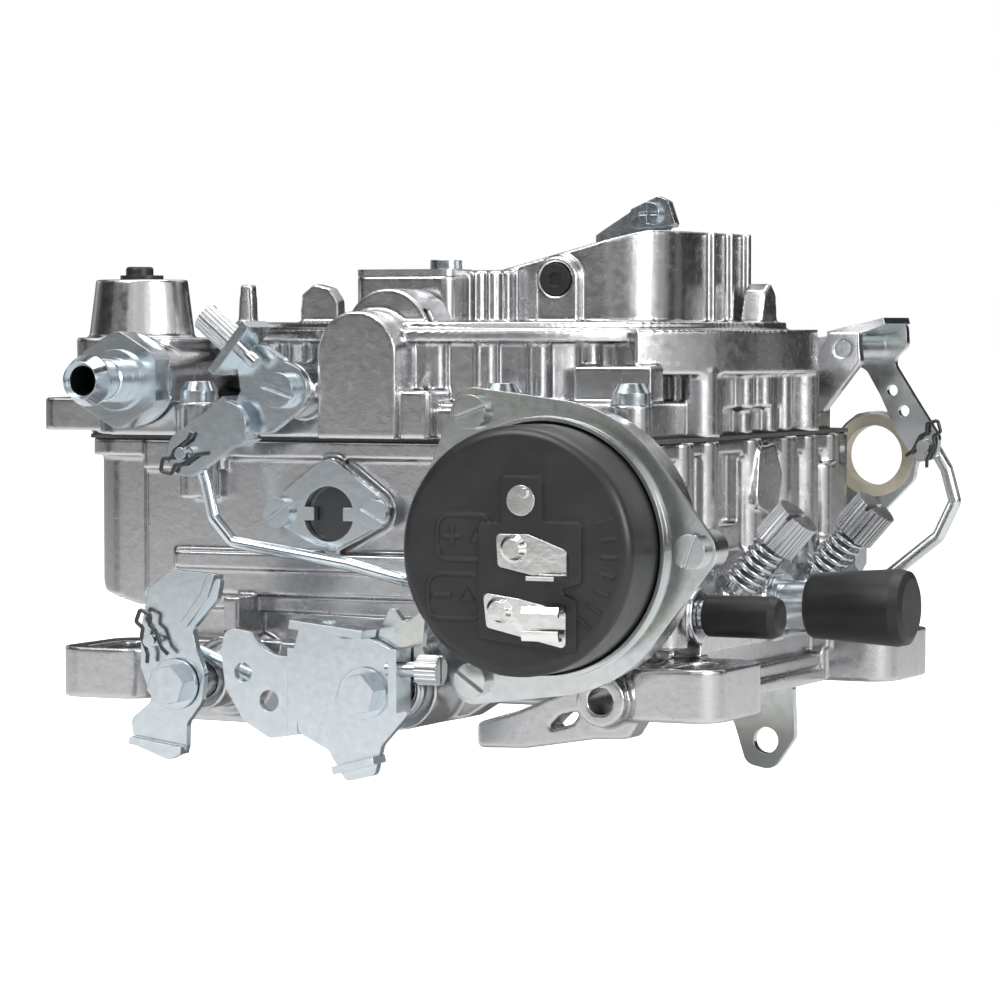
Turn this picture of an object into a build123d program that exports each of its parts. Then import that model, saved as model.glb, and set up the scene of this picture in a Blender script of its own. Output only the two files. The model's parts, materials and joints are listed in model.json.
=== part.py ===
from build123d import *
import os
from math import acos, atan2, cos, degrees, hypot, pi, radians, sin

# Four-barrel carburetor with electric choke.
# Millimetres, +Z up, +X towards the engine front, -Y the choke side ("near"),
# +Y the throttle-lever side ("far").  Origin: middle of the manifold face.
# Outlines are lists of (x, z) points in prism_xz, (y, z) in prism_yz.

os.makedirs("parts", exist_ok=True)
CUT = Mode.SUBTRACT

# --- driving dimensions ----------------------------------------------------
# throttle barrels, shafts and plates
prim_x = 12.0            # primary throttle shaft, X
sec_x = -35.6            # secondary throttle shaft, X
shaft_z = 6.5            # both shafts above the manifold face
bore_y = 23.8            # barrels to either side of the middle plane
prim_bore_r = 18.25
sec_bore_r = 21.45
shaft_r = 4.0
shaft_fit = 0.04         # radial running clearance of the shafts
plate_t = 1.5
plate_gap = 0.10         # plate edge to bore

# mounting slots
stud_x = 71.4            # half of the 142.9 mm spacing
stud_y_in = 54.0         # inner slot end (half of 108)
stud_y_out = 65.5        # outer slot end (half of 131)
slot_r = 4.4             # half width of a slot
foot_t = 11.5

# heights of body, bowl gasket and air horn
body_top = 59.2
gasket_t = 0.8
horn_z = body_top + gasket_t
horn_plate = 8.0         # cover plate thickness of the air horn
screw_seat_z = horn_z + 7.8
seat_z = 84.0            # air-cleaner gasket seat
lip_z = 85.7             # top of the air-cleaner register lip
lip_r = 65.1             # air-cleaner register radius
lip_x = 0.5              # register centre, X

# wells, jets and floats
step_x, step_y = -9.5, 40.0      # step-up piston wells
step_r = 4.0
step_screw_x = 2.8               # screws of the step-up covers
jet_y = 53.5                     # main jets, at step_x
needle_x, needle_y = -60.5, 54.2
pump_x, pump_y = 51.0, 53.0      # accelerator pump well
pump_r = 7.5
hinge_x, hinge_z = -68.0, 56.5   # float hinge pins

# fittings and pivots
inlet_x, inlet_z = -62.5, 72.7
vent_x, vent_y = -70.8, -50.0    # vent plug on the inlet tower
sight_x, sight_z = -12.4, 43.0
sight_screws_x, sight_screws_z = (-24.6, -0.6), 43.2
bracket_x, bracket_z = 55.5, 4.2
link_x, link_z = -19.3, 70.7     # pivot of the rear link lever
arm_x, arm_z = 67.0, 79.5        # pivot of the pump arm
vent_tube_z = 20.9               # crankcase-vent tube, at y = 0
near_port = (-45, 21.2)          # small vacuum ports, (y, z)
far_port = (34, 15.5)
stop_screw = (38, 30.6)          # hex-head screw in the front wall, (y, z)
mixture_y = 26.0
mixture_dir = Vector(0.668, 0, 0.744)    # idle mixture screws, up and forward

# choke
choke_x, choke_z = 48.9, 37.8    # axis of the choke coil housing
choke_pcr = 33.4                 # pitch radius of the retainer screws
choke_shaft_x, choke_shaft_z = 28.3, 95.4
choke_shaft_r = 2.5
slope = radians(14.7)            # closed choke plate slope
valve_x, valve_z = -38.0, 79.6   # secondary air-valve shaft
valve_shaft_r = 1.5

# cover screws, (x, y)
cover_screw_places = [
    (-45.5, -68.5), (29.5, -67.5), (58.0, -63.0), (-72.5, -30.0), (-73.0, 30.0),
    (-73.0, 59.0), (-30.0, 67.5), (20.0, 67.5), (60.5, 33.0), (60.5, -31.0)]


# --- drawing helpers -------------------------------------------------------
def disc(plane, u, v, r, length, mode=Mode.ADD):
    """Round bar or hole standing on the plane at (u, v)."""
    with BuildSketch(plane) as face:
        with Locations((u, v)):
            Circle(r)
    extrude(face.sketch, amount=length, mode=mode)


def cyl_x(y, z, r, x0, x1, mode=Mode.ADD):
    """Round bar or hole along X from x0 to x1."""
    disc(Plane.YZ.offset(x0), y, z, r, x1 - x0, mode)


def cyl_y(x, z, r, y0, y1, mode=Mode.ADD):
    """Round bar or hole along Y from y0 to y1."""
    disc(Plane.XZ.offset(-y0), x, z, r, y0 - y1, mode)


def cyl_z(x, y, r, z0, z1, mode=Mode.ADD):
    """Round bar or hole along Z from z0 to z1."""
    disc(Plane.XY.offset(z0), x, y, r, z1 - z0, mode)


def tube_y(x, z, r, inner_r, y0, y1):
    """Ring along Y."""
    with BuildSketch(Plane.XZ.offset(-y0)) as face:
        with Locations((x, z)):
            Circle(r)
            Circle(inner_r, mode=CUT)
    extrude(face.sketch, amount=y0 - y1)


def cone_z(x, y, r0, r1, z0, z1, mode=Mode.ADD):
    """Tapered round boss or hole along Z."""
    with BuildSketch(Plane.XY.offset(z0)) as lower:
        with Locations((x, y)):
            Circle(r0)
    with BuildSketch(Plane.XY.offset(z1)) as upper:
        with Locations((x, y)):
            Circle(r1)
    loft([lower.sketch, upper.sketch], mode=mode)


def block(x0, x1, y0, y1, z0, z1, r=0.0, mode=Mode.ADD):
    """Upright block with optional rounded vertical corners."""
    with BuildSketch(Plane.XY.offset(z0)) as face:
        with Locations(((x0 + x1) / 2, (y0 + y1) / 2)):
            if r:
                RectangleRounded(x1 - x0, y1 - y0, r)
            else:
                Rectangle(x1 - x0, y1 - y0)
    extrude(face.sketch, amount=z1 - z0, mode=mode)


def prism(plane, points, length, r, mode):
    """Closed outline with optional rounded corners, extruded off the plane."""
    with BuildSketch(plane) as face:
        with BuildLine():
            Polyline(*points, close=True)
        make_face()
        if r:
            fillet(face.vertices(), r)
    extrude(face.sketch, amount=length, mode=mode)


def prism_xz(points, y0, y1, r=0.0, mode=Mode.ADD):
    """Plate lying in the XZ plane, from y0 to y1."""
    prism(Plane.XZ.offset(-y0), points, y0 - y1, r, mode)


def prism_yz(points, x0, x1, r=0.0, mode=Mode.ADD):
    """Plate lying in the YZ plane, from x0 to x1."""
    prism(Plane.YZ.offset(x0), points, x1 - x0, r, mode)


def bar_xz(start, end, r, y0, y1):
    """Round-ended flat bar in the XZ plane between two points."""
    dx, dz = end[0] - start[0], end[1] - start[1]
    with BuildSketch(Plane.XZ.offset(-y0)) as face:
        with Locations(((start[0] + end[0]) / 2, (start[1] + end[1]) / 2)):
            SlotCenterToCenter(hypot(dx, dz), 2 * r, rotation=degrees(atan2(dz, dx)))
    extrude(face.sketch, amount=y0 - y1)


def hex_y(x, z, flat_r, y0, y1, rotation=0):
    """Hexagon along Y; flat_r is half the width across flats."""
    with BuildSketch(Plane.XZ.offset(-y0)) as face:
        with Locations((x, z)):
            RegularPolygon(radius=flat_r, side_count=6, major_radius=False, rotation=rotation)
    extrude(face.sketch, amount=y0 - y1)


def turned_x(y, z, profile):
    """Solid of revolution along X; the profile is (x, radius)."""
    with BuildSketch(Plane.XY.offset(z)) as face:
        with BuildLine():
            Polyline(*[(x, y + r) for x, r in profile], close=True)
        make_face()
    revolve(face.sketch, axis=Axis((0, y, z), (1, 0, 0)))


def turned_z(x, y, profile):
    """Solid of revolution along Z; the profile is (radius, z)."""
    with BuildSketch(Plane.XZ.offset(-y)) as face:
        with BuildLine():
            Polyline(*[(x + r, z) for r, z in profile], close=True)
        make_face()
    revolve(face.sketch, axis=Axis((x, y, 0), (0, 0, 1)))


def rod_path(points, bend, r):
    """Round wire through the points, with rounded bends."""
    with BuildLine() as path:
        FilletPolyline(*points, radius=bend)
    with BuildSketch(Plane(origin=path.line @ 0, z_dir=path.line % 0)) as section:
        Circle(r)
    sweep(section.sketch, path=path.line)


def coil(plane, radius, wire_r, pitch, turns):
    """Coil spring of round wire that starts on the plane."""
    start, along = plane.origin, plane.z_dir
    with BuildLine() as helix:
        Helix(pitch=pitch, height=pitch * turns, radius=radius,
              center=(start.X, start.Y, start.Z), direction=(along.X, along.Y, along.Z))
    with BuildSketch(Plane(origin=helix.line @ 0, z_dir=helix.line % 0)) as section:
        Circle(wire_r)
    sweep(section.sketch, path=helix.line, is_frenet=True)


def knurled(plane, r, ridge_r, count, length):
    """Round head with small ridges round its edge."""
    with BuildSketch(plane) as face:
        Circle(r)
        with PolarLocations(r, count):
            Circle(ridge_r)
    extrude(face.sketch, amount=length)


def head_slot(plane, width, height):
    """Screwdriver slot, cut outwards from the plane."""
    with BuildSketch(plane) as face:
        Rectangle(width, height)
    extrude(face.sketch, amount=3, mode=CUT)


def hairpin(x, y, z, angle, pin_r, wire_r=0.45):
    """Hairpin clip lying in the XZ plane, gripping a pin along Y."""
    turn = radians(angle)
    grip = pin_r + wire_r + 0.03
    # (along the clip, across it) from the pin centre
    stations = [(-4.2, -grip - 0.9), (-2.4, -grip), (1.7, -grip), (3.3, -0.9), (5.2, -2.0),
                (7.3, 0.0), (5.2, 2.0), (3.3, 0.9), (1.7, grip), (-2.4, grip),
                (-4.2, grip + 0.9)]
    rod_path([(x + u * cos(turn) - v * sin(turn), y, z + u * sin(turn) + v * cos(turn))
              for u, v in stations], 0.6, wire_r)


def mixture_plane(y, along):
    """Plane across a mixture screw, at a distance along it from its head."""
    return Plane(origin=Vector(80, y, 39.4) + mixture_dir * along, z_dir=mixture_dir)


def save(builder, name):
    """Label the piece and write its STEP file."""
    builder.part.label = name
    export_step(builder.part, f"parts/{name}.step")


# ===========================================================================
# Main body: base flange, bores, float bowls and the cast bosses
# ===========================================================================
# (x, bore radius, bore top, throat radius, throat z, top radius, top z)
barrels = [(prim_x, prim_bore_r, 28, 14.5, 36, 18.6, 52),
           (sec_x, sec_bore_r, 30, 18.0, 38, 21.4, 54)]
bowl_section = [(-77.5, 27.5), (-74.6, 23.8), (-64, 21.0), (52, 19.0), (62.5, 26.0),
                (62.5, 58.7), (-77.5, 58.7)]
apron = [(40, 8), (66.5, 8), (67.5, 24), (63, 34), (52, 40), (40, 40)]
near_skirt = [(-58, 14), (-58, 2), (-52, -4.2), (-30, -4.4), (10, -3.4), (22, -1.0),
              (30, 4), (30, 14)]
cable_bracket = [(24, -7.6), (36, -7.2), (52, -4.6), (60, -4.2), (64, 2), (60, 13),
                 (50, 13), (46, 6), (34, 1.0), (24, -2.0)]

with BuildPart() as main_body:
    # manifold pad and the four slotted feet
    block(-66, 65.4, -47, 47, 0, foot_t, 6)
    for end in (-1, 1):
        for side in (-1, 1):
            block(*sorted((end * 58.0, end * 81.5)), *sorted((side * 40.0, side * 72.5)),
                  0, foot_t, 7)
    # waist round the barrels
    block(-62, 60, -60, 60, 5, 26, 10)
    # float-bowl section with its chamfered lower rear edge
    prism_xz(bowl_section, -63.0, 63.0)
    fillet(main_body.edges().filter_by(Axis.Z).filter_by(
        lambda e: abs(e.center().X + 77.5) < 0.2), 9)
    # side-wall panels, slightly proud of the lower wall
    block(-62, 58, -64.6, -60, 24, 57, 1.2)
    block(-62, 58, 60, 64.6, 24, 57, 1.2)
    # top flange
    block(-78.6, 63.6, -66, 66, 55.2, body_top, 10)
    # front wall: cast columns, a round pump well and raised pads
    for y in (-46, -31, -4.5, 33, 48):
        cyl_z(60.5, y, 5.0, 16, body_top)
    cyl_z(58.0, 18.5, 7.5, 22, body_top)
    cyl_z(pump_x, pump_y, 10.6, 24, body_top)
    block(56, 66.2, -58, -47, 14, 50, 4)
    block(56, 65.4, 40, 56, 12, 52, 4)
    prism_yz([(-8, 44), (5, 40), (9, 50), (4, 58), (-6, 57)], 60, 66.0, 2)
    # sloping front apron that carries the idle screws and vacuum ports
    prism_xz(apron, -44, 44)
    fillet(main_body.faces().filter_by(Axis.Y).sort_by(Axis.Y)[0].edges(), 0.4)
    for y in (-mixture_y, mixture_y):
        disc(mixture_plane(y, -30), 0, 0, 5.2, 11.5)
    # front port bosses
    cyl_x(0, vent_tube_z, 9.0, 58, 68.5)
    cyl_x(*near_port, 6.2, 54, 67.4)
    cyl_x(*far_port, 5.6, 58, 68.0)
    cyl_x(*stop_screw, 4.6, 50, 69.0)
    # cast rib across the choke-side wall and the square strap above it
    block(-53.5, 30, -67.2, -60, 30, 34, 1.6)
    block(-62, -40, -66.5, -60, 52.4, 59.0, 2)
    # pad for the sight window
    prism_xz([(-12.6, 33.6), (5.6, 43.2), (-12.6, 56.6), (-30.5, 43.2)], -60, -67.2, 4.6)
    # skirt along the choke side, outboard of the manifold pad
    prism_xz(near_skirt, -61.5, -69.5, 2)
    # shaft bosses, choke side
    cyl_y(prim_x, shaft_z, 9.4, -58, -84)
    cyl_y(sec_x, shaft_z, 6.6, -58, -86)
    cyl_y(sec_x, shaft_z, 9.0, -58, -74)
    # shaft bosses, lever side
    cyl_y(prim_x, shaft_z, 9.4, 58, 74)
    cyl_y(sec_x, shaft_z, 8.0, 58, 68)
    # gusset from the near secondary boss to the wall
    block(sec_x - 2.0, sec_x + 2.0, -72, -60, 8, 24)
    # mounting pad for the choke housing
    cyl_y(choke_x, choke_z, 21.2, -58, -67.5)
    # cast cable bracket under the choke housing
    prism_xz(cable_bracket, -61.5, -69.0, 1.6)
    cyl_y(bracket_x, bracket_z, 5.6, -60, -74)
    # web and ribs at the waist, lever side
    prism_xz([(-58, 14), (-58, 2), (-46, 0.5), (30, 0.5), (30, 14)], 61.0, 67.0, 1.5)
    block(-53.5, 40, 60, 66.6, 30, 34, 1.6)
    block(-20, -4, 60, 66.4, 38, 55.2, 3)
    # screw bosses along the rim
    for x, y in cover_screw_places:
        cyl_z(x, y, 4.3, 46, body_top)

    # --- cuts ---
    # barrels: throttle bore below, venturi above; cuts overlap by 0.1
    for y in (-bore_y, bore_y):
        for x, bore_r, bore_top, throat_r, throat_z, top_r, top_z in barrels:
            cyl_z(x, y, bore_r, -1, bore_top, CUT)
            cone_z(x, y, bore_r, throat_r, bore_top - 0.1, throat_z, CUT)
            cone_z(x, y, throat_r, top_r, throat_z - 0.1, top_z, CUT)
            cyl_z(x, y, top_r, top_z - 0.1, 60, CUT)
    # float bowls along both sides, clear of the barrel walls
    for side in (-1, 1):
        with BuildSketch(Plane.XY.offset(29)):
            with Locations((-22.0, side * 45.5)):
                RectangleRounded(104, 31, 4)
            with Locations((prim_x, side * bore_y)):
                Circle(prim_bore_r + 2.8, mode=CUT)
            with Locations((sec_x, side * bore_y)):
                Circle(sec_bore_r + 2.8, mode=CUT)
            with Locations((step_x, side * step_y)):
                Rectangle(12, 17.5, mode=CUT)
        extrude(amount=40, mode=CUT)
        # step-up piston well beside each primary barrel
        cyl_z(step_x, side * step_y, step_r + 0.05, 38, 61, CUT)
        # seat for the main jet in the bowl floor
        cyl_z(step_x, side * jet_y, 2.5, 22, 30, CUT)
    cyl_z(pump_x, pump_y, pump_r + 0.05, 34, 61, CUT)
    # pockets that take the booster arms
    for y in (-bore_y, bore_y):
        block(28, 37.05, y - 4.05, y + 4.05, 52.95, 61, mode=CUT)
        block(-64.05, -54, y - 4.05, y + 4.05, 52.95, 61, mode=CUT)
    # sight-window opening
    cyl_y(sight_x, sight_z, 6.4, -56, -69, CUT)
    for x in sight_screws_x:
        cyl_y(x, sight_screws_z, 1.85, -60, -69, CUT)
    # shaft bores, straight through
    for x in (prim_x, sec_x):
        cyl_y(x, shaft_z, shaft_r + shaft_fit, 80, -90, CUT)
    # mounting slots
    for end in (-1, 1):
        for side in (-1, 1):
            with BuildSketch(Plane.XY.offset(-1)):
                with Locations((end * stud_x, side * (stud_y_in + stud_y_out) / 2)):
                    SlotCenterToCenter(stud_y_out - stud_y_in, 2 * slot_r, rotation=90)
            extrude(amount=foot_t + 2, mode=CUT)
    # step across the front edge of the pad
    block(64.6, 70, -38, 38, 3.2, 6.8, mode=CUT)
    block(62.0, 70, -38, 38, 6.8, 12.5, mode=CUT)
    # foundry pockets in the front wall
    block(59.5, 70, -26, -11, 40, 56, mode=CUT)
    block(61.5, 70, -42.5, -35, 38, 56, mode=CUT)
    # round recess in the choke-side skirt
    cyl_y(-29, 13.5, 4.2, -66, -71, CUT)
    # bracket hole and window
    cyl_y(bracket_x, bracket_z, 2.9, -60, -76, CUT)
    prism_xz([(40, -3.4), (47, -1.4), (49, 1.6), (44, 0.4)], -60, -70, 0.6, CUT)
    # port drillings
    cyl_x(0, vent_tube_z, 6.0, 44, 70, CUT)
    cyl_x(*near_port, 2.5, 46, 70, CUT)
    cyl_x(*far_port, 2.5, 40, 70, CUT)
    cyl_x(*stop_screw, 2.0, 50, 70, CUT)
    for y in (-mixture_y, mixture_y):
        disc(mixture_plane(y, -44), 0, 0, 2.04, 30, CUT)
    for x, y in cover_screw_places:
        cyl_z(x, y, 2.05, 46, 61, CUT)
save(main_body, "main_body")

# ===========================================================================
# Bowl gasket
# ===========================================================================
cut_z0, cut_z1 = body_top - 1, horn_z + 1

with BuildPart() as bowl_gasket:
    block(-79.2, 64.2, -66.6, 66.6, body_top, horn_z, 10)
    for x, y in cover_screw_places:
        cyl_z(x, y, 4.6, body_top, horn_z)
    for y in (-bore_y, bore_y):
        cyl_z(prim_x, y, 19.2, cut_z0, cut_z1, CUT)
        cyl_z(sec_x, y, 22.0, cut_z0, cut_z1, CUT)
        block(28, 38, y - 5, y + 5, cut_z0, cut_z1, mode=CUT)
        block(-65, -54, y - 5, y + 5, cut_z0, cut_z1, mode=CUT)
    for side in (-1, 1):
        with BuildSketch(Plane.XY.offset(cut_z0)):
            with Locations((-22.0, side * 55.3)):
                RectangleRounded(104, 11.4, 3)
            with Locations((-68.0, side * 45.5)):
                RectangleRounded(12, 31, 3)
        extrude(amount=3, mode=CUT)
        cyl_z(step_x, side * step_y, step_r + 0.6, cut_z0, cut_z1, CUT)
        block(step_x - 1.6, step_x + 1.6, side * 49 - 6, side * 49 + 6, cut_z0, cut_z1,
              mode=CUT)
    cyl_z(pump_x, pump_y, pump_r + 0.6, cut_z0, cut_z1, CUT)
    # opening under the pump nozzle
    block(19.5, 30, -5.5, 5.5, cut_z0, cut_z1, mode=CUT)
    for x, y in cover_screw_places:
        cyl_z(x, y, 2.3, cut_z0, cut_z1, CUT)
save(bowl_gasket, "bowl_gasket")

# ===========================================================================
# Air horn (bowl cover) with the choke tower and the air-cleaner register
# ===========================================================================
step_top = 96.2          # top of the step-up towers
tower_x, tower_length, tower_width, tower_corner = 28.2, 42.0, 60.0, 12.8
# Air passages: rounded rectangles (x, length, width, corner radius) at the
# bottom and top of the taper, and the z where the taper ends
air_passages = [
    ((prim_x, 37.4, 84.8, 18.2), (tower_x, tower_length, tower_width, tower_corner), 84),
    ((sec_x, 43.2, 91.0, 20), (-34.0, 36.4, 68.0, 9), 74)]

with BuildPart() as air_horn:
    # cover plate
    block(-79.5, 60.0, -67.0, 67.0, horn_z, horn_z + horn_plate, 12)
    block(-89.0, -70.0, -66.0, -46.0, horn_z + 0.9, horn_z + 8.4, 4)
    block(-52, 50, -68.0, -60, horn_z, horn_z + horn_plate - 1.2, 1)
    for x, y in cover_screw_places:
        cyl_z(x, y, 4.5, horn_z, screw_seat_z)
    # fluted neck below the air-cleaner seat
    cyl_z(lip_x, 0, 61.5, horn_z + 6, 82.0)
    with BuildSketch(Plane.XY.offset(horn_z + 6)):
        with Locations((lip_x, 0)):
            with PolarLocations(62.0, 34, start_angle=4):
                Circle(2.5)
    extrude(amount=15.5)
    # seat flange, register lip and the deeper band round the front
    cyl_z(lip_x, 0, 68.6, 81.4, seat_z)
    cyl_z(lip_x, 0, lip_r, seat_z - 0.5, lip_z)
    with BuildSketch(Plane.XY.offset(74.0)):
        with BuildLine():
            rim = CenterArc((lip_x, 0), 72.5, -43, 86)
            Line(rim @ 1, (lip_x, 0))
            Line((lip_x, 0), rim @ 0)
        make_face()
    extrude(amount=seat_z - 74.0)
    # legs of the band and the front cover screws
    block(40, 58.5, -53, -45.5, horn_z, 76)
    cyl_z(60.5, -31, 5.2, horn_z, 75)
    cyl_z(60.5, 33, 5.2, horn_z, 75)
    for y0, y1, front in ((-24, -18, 62.2), (-8, -2, 63.2), (10, 16, 62.6), (22, 27, 62.0)):
        block(52, front, y0, y1, horn_z, 76, 2)
    # arched boss on the choke side
    with BuildSketch(Plane.XZ.offset(58)):
        with Locations((-2.9, 74.2)):
            SlotCenterToCenter(8.8, 19.2, rotation=90)
        with Locations((-2.9, 69.0)):
            Rectangle(19.2, 18.0)
    extrude(amount=16.5)
    with BuildSketch(Plane.XZ.offset(50)):
        with Locations((-0.4, 80.0)):
            SlotCenterToCenter(6, 20.4, rotation=90)
    extrude(amount=14)
    block(-12.5, 13.8, -72.2, -60, horn_z, 70.6, 2)
    # fuel inlet boss, its tower and the saddle under the tower
    cyl_y(inlet_x, inlet_z, 8.4, -30, -67.0)
    block(-83.5, -57.0, -62.5, -37, horn_z + 7, 82.2, 6)
    cone_z(vent_x, vent_y, 12.3, 10.6, 82.0, 95.6)
    # step-up towers either side, and the bridge between them
    for side in (-1, 1):
        block(-17.5, 7.2, side * step_y - 6.6, side * step_y + 6.6, 80, step_top, 3)
    block(-5, 17, -37.5, 37.5, 80, 97.4, 3)
    with BuildSketch(Plane.XY.offset(80)):
        for y in (-37.4, 37.4):
            with Locations(*[(6.5 + 3.4 * i, y) for i in range(4)]):
                Circle(1.15)
    extrude(amount=17.4)
    # choke tower
    with BuildSketch(Plane.XY.offset(80)) as tower:
        with BuildLine():
            Polyline((2, -33), (52, -33), (52, 33), (2, 33), close=True)
        make_face()
        fillet(tower.vertices().group_by(Axis.X)[-1], 15.8)
    extrude(amount=26.4)
    # three casting ribs on the tower front
    with BuildSketch(Plane.XY.offset(80)):
        with Locations((52, -2), (52, 9.5), (52, 20)):
            RectangleRounded(3.0, 2.4, 0.8)
    extrude(amount=26.4)
    # sloping rim of the tower
    prism_xz([(-10, 97.6), (13.2, 97.6), (47.2, 106.4), (47.2, 125), (-10, 125)],
             -48, 48, mode=CUT)
    # choke shaft bosses
    for y0, y1 in ((-30, -36.4), (30, 36.4)):
        with BuildSketch(Plane.XZ.offset(-y0)):
            with Locations((choke_shaft_x, choke_shaft_z)):
                Circle(5.2)
            with Locations((choke_shaft_x, 88.5)):
                Rectangle(10.4, 14)
        extrude(amount=y0 - y1)
    # pump-arm pivot ear
    with BuildSketch(Plane.XZ.offset(-46.5)) as ear:
        with BuildLine():
            Polyline((50, 64), (62, 64), (71.5, 76), (71.0, 83.5), (63.5, 83.5),
                     (57, 74), (50, 72), close=True)
        make_face()
        fillet(ear.vertices().group_by(Axis.X)[-1], 2.0)
    extrude(amount=-3.4)
    # pivot boss of the rear link lever
    cyl_y(link_x, link_z, 6.2, -58, -76.0)
    block(-25.5, -13.1, -68.0, -58, horn_z, 72, 2)

    # --- cuts ---
    for bottom, top, taper_top in air_passages:
        for z, (x, length, width, corner) in ((horn_z - 1, bottom), (taper_top, top)):
            with BuildSketch(Plane.XY.offset(z)):
                with Locations((x, 0)):
                    RectangleRounded(length, width, corner)
        loft(mode=CUT)
        x, length, width, corner = top
        with BuildSketch(Plane.XY.offset(taper_top - 0.1)):
            with Locations((x, 0)):
                RectangleRounded(length, width, corner)
        extrude(amount=30, mode=CUT)
    # float chambers in the underside and the step-up wells
    for side in (-1, 1):
        y = side * step_y
        block(-74.5, 26, side * 55 - 5.4, side * 55 + 5.4, horn_z - 1, 64.5, 3, CUT)
        cyl_z(step_x, y, step_r + 0.8, horn_z - 1, 96.6, CUT)
        block(step_x - 1.6, step_x + 1.6, side * 49 - 6, side * 49 + 6, horn_z - 1, 66,
              mode=CUT)
        block(-16.0, 5.6, y - 5, y + 5, 92, 96.6, 2, CUT)
        block(-17.6, 7.3, y - 6.7, y + 6.7, step_top, 98.5, 3, CUT)
        cyl_z(step_screw_x, y, 3.0, 90, step_top)
        cyl_z(step_screw_x, y, 1.55, 86, 96.6, CUT)
    # float hinge lugs
    for side in (-1, 1):
        for y in (side * 51.0, side * 57.4):
            block(hinge_x - 3, hinge_x + 3, y - 1, y + 1, hinge_z - 2.6, 65.5)
        cyl_y(hinge_x, hinge_z, 1.04, side * 59.5, side * 49, CUT)
    # needle-seat holes
    for side in (-1, 1):
        cyl_z(needle_x, side * needle_y, 3.6, horn_z + 1, 72, CUT)
    # shallow groove inside the register lip
    with BuildSketch(Plane.XY.offset(seat_z - 1.4)):
        with Locations((lip_x, 0)):
            Circle(lip_r - 2.0)
            Circle(lip_r - 4.6, mode=CUT)
    extrude(amount=6, mode=CUT)
    # lugs standing on the deck, inside the register lip
    prism_xz([(-57.9, 82), (-53.3, 82), (-53.9, 94.6), (-56.9, 94.6)], -25, -28, 0.6)
    prism_xz([(-34.8, 82), (-24.6, 82), (-24.9, 90.5), (-27.0, 93.6), (-31.0, 94.6),
              (-34.3, 92.0)], -36, -40, 1)
    prism_yz([(8.5, 82), (20.5, 82), (19, 92.4), (15.6, 95), (12, 93)], 55.0, 60.4, 1.2)
    # air-cleaner stud hole
    cyl_z(-2.0, 0, 2.6, 70, 100, CUT)
    # choke shaft and its plugged end
    cyl_y(choke_shaft_x, choke_shaft_z, choke_shaft_r + shaft_fit, 40, -33.0, CUT)
    cyl_y(choke_shaft_x, choke_shaft_z, 3.7, -33.0, -40, CUT)
    # air-valve shaft
    cyl_y(valve_x, valve_z, valve_shaft_r + shaft_fit, 38.5, -38.5, CUT)
    # fuel passage
    cyl_y(inlet_x, inlet_z, 5.6, -52, -70, CUT)
    # relief beside the pump stem for the inner fork of the pump arm
    block(46, 63, 54.0, 57.4, 64.8, 72, mode=CUT)
    # pump stem, pump-arm pivot and lever pivot
    cyl_z(pump_x, pump_y, 2.3, horn_z - 1, 80, CUT)
    cyl_y(arm_x, arm_z, 2.04, 44, 64, CUT)
    cyl_y(link_x, link_z, 1.6, -66, -78, CUT)
    # vent plug seat on the inlet tower
    cyl_z(vent_x, vent_y, 3.2, 90, 97, CUT)
    # cover-screw holes with room for the heads
    for x, y in cover_screw_places:
        cyl_z(x, y, 2.05, horn_z - 1, horn_z + 9, CUT)
        cyl_z(x, y, 4.7, screw_seat_z, horn_z + 14.5, CUT)
save(air_horn, "air_horn")


# ===========================================================================
# Cover screws
# ===========================================================================
def pan_screw(x, y, seat, head_r, head_h, shank_r, shank_length):
    """Cross-slotted pan-head screw standing on the seat, pointing down."""
    cyl_z(x, y, shank_r, seat - shank_length, seat + 0.4)
    cyl_z(x, y, head_r, seat, seat + head_h * 0.55)
    with BuildSketch(Plane.XY.offset(seat + head_h * 0.55)) as crown:
        with Locations((x, y)):
            Circle(head_r)
    extrude(crown.sketch, amount=head_h * 0.45, taper=32)
    reach = head_r * 0.62
    z0, z1 = seat + head_h * 0.45, seat + head_h + 1
    block(x - reach, x + reach, y - 0.5, y + 0.5, z0, z1, mode=CUT)
    block(x - 0.5, x + 0.5, y - reach, y + reach, z0, z1, mode=CUT)


with BuildPart() as cover_screws:
    for x, y in cover_screw_places:
        pan_screw(x, y, screw_seat_z, head_r=4.3, head_h=4.6, shank_r=2.0, shank_length=19.0)
    # slotted screws of the two step-up covers
    for y in (-step_y, step_y):
        cyl_z(step_screw_x, y, 1.5, 88, 98)
        cyl_z(step_screw_x, y, 3.6, 97.72, 99.8)
        block(-1.5, 7.0, y - 0.5, y + 0.5, 98.8, 101, mode=CUT)
save(cover_screws, "cover_screws")

# ===========================================================================
# Fuel inlet: sealing washer and barbed fitting
# ===========================================================================
with BuildPart() as inlet_washer:
    tube_y(inlet_x, inlet_z, 9.6, 5.9, -67.0, -68.2)
save(inlet_washer, "inlet_washer")

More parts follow.
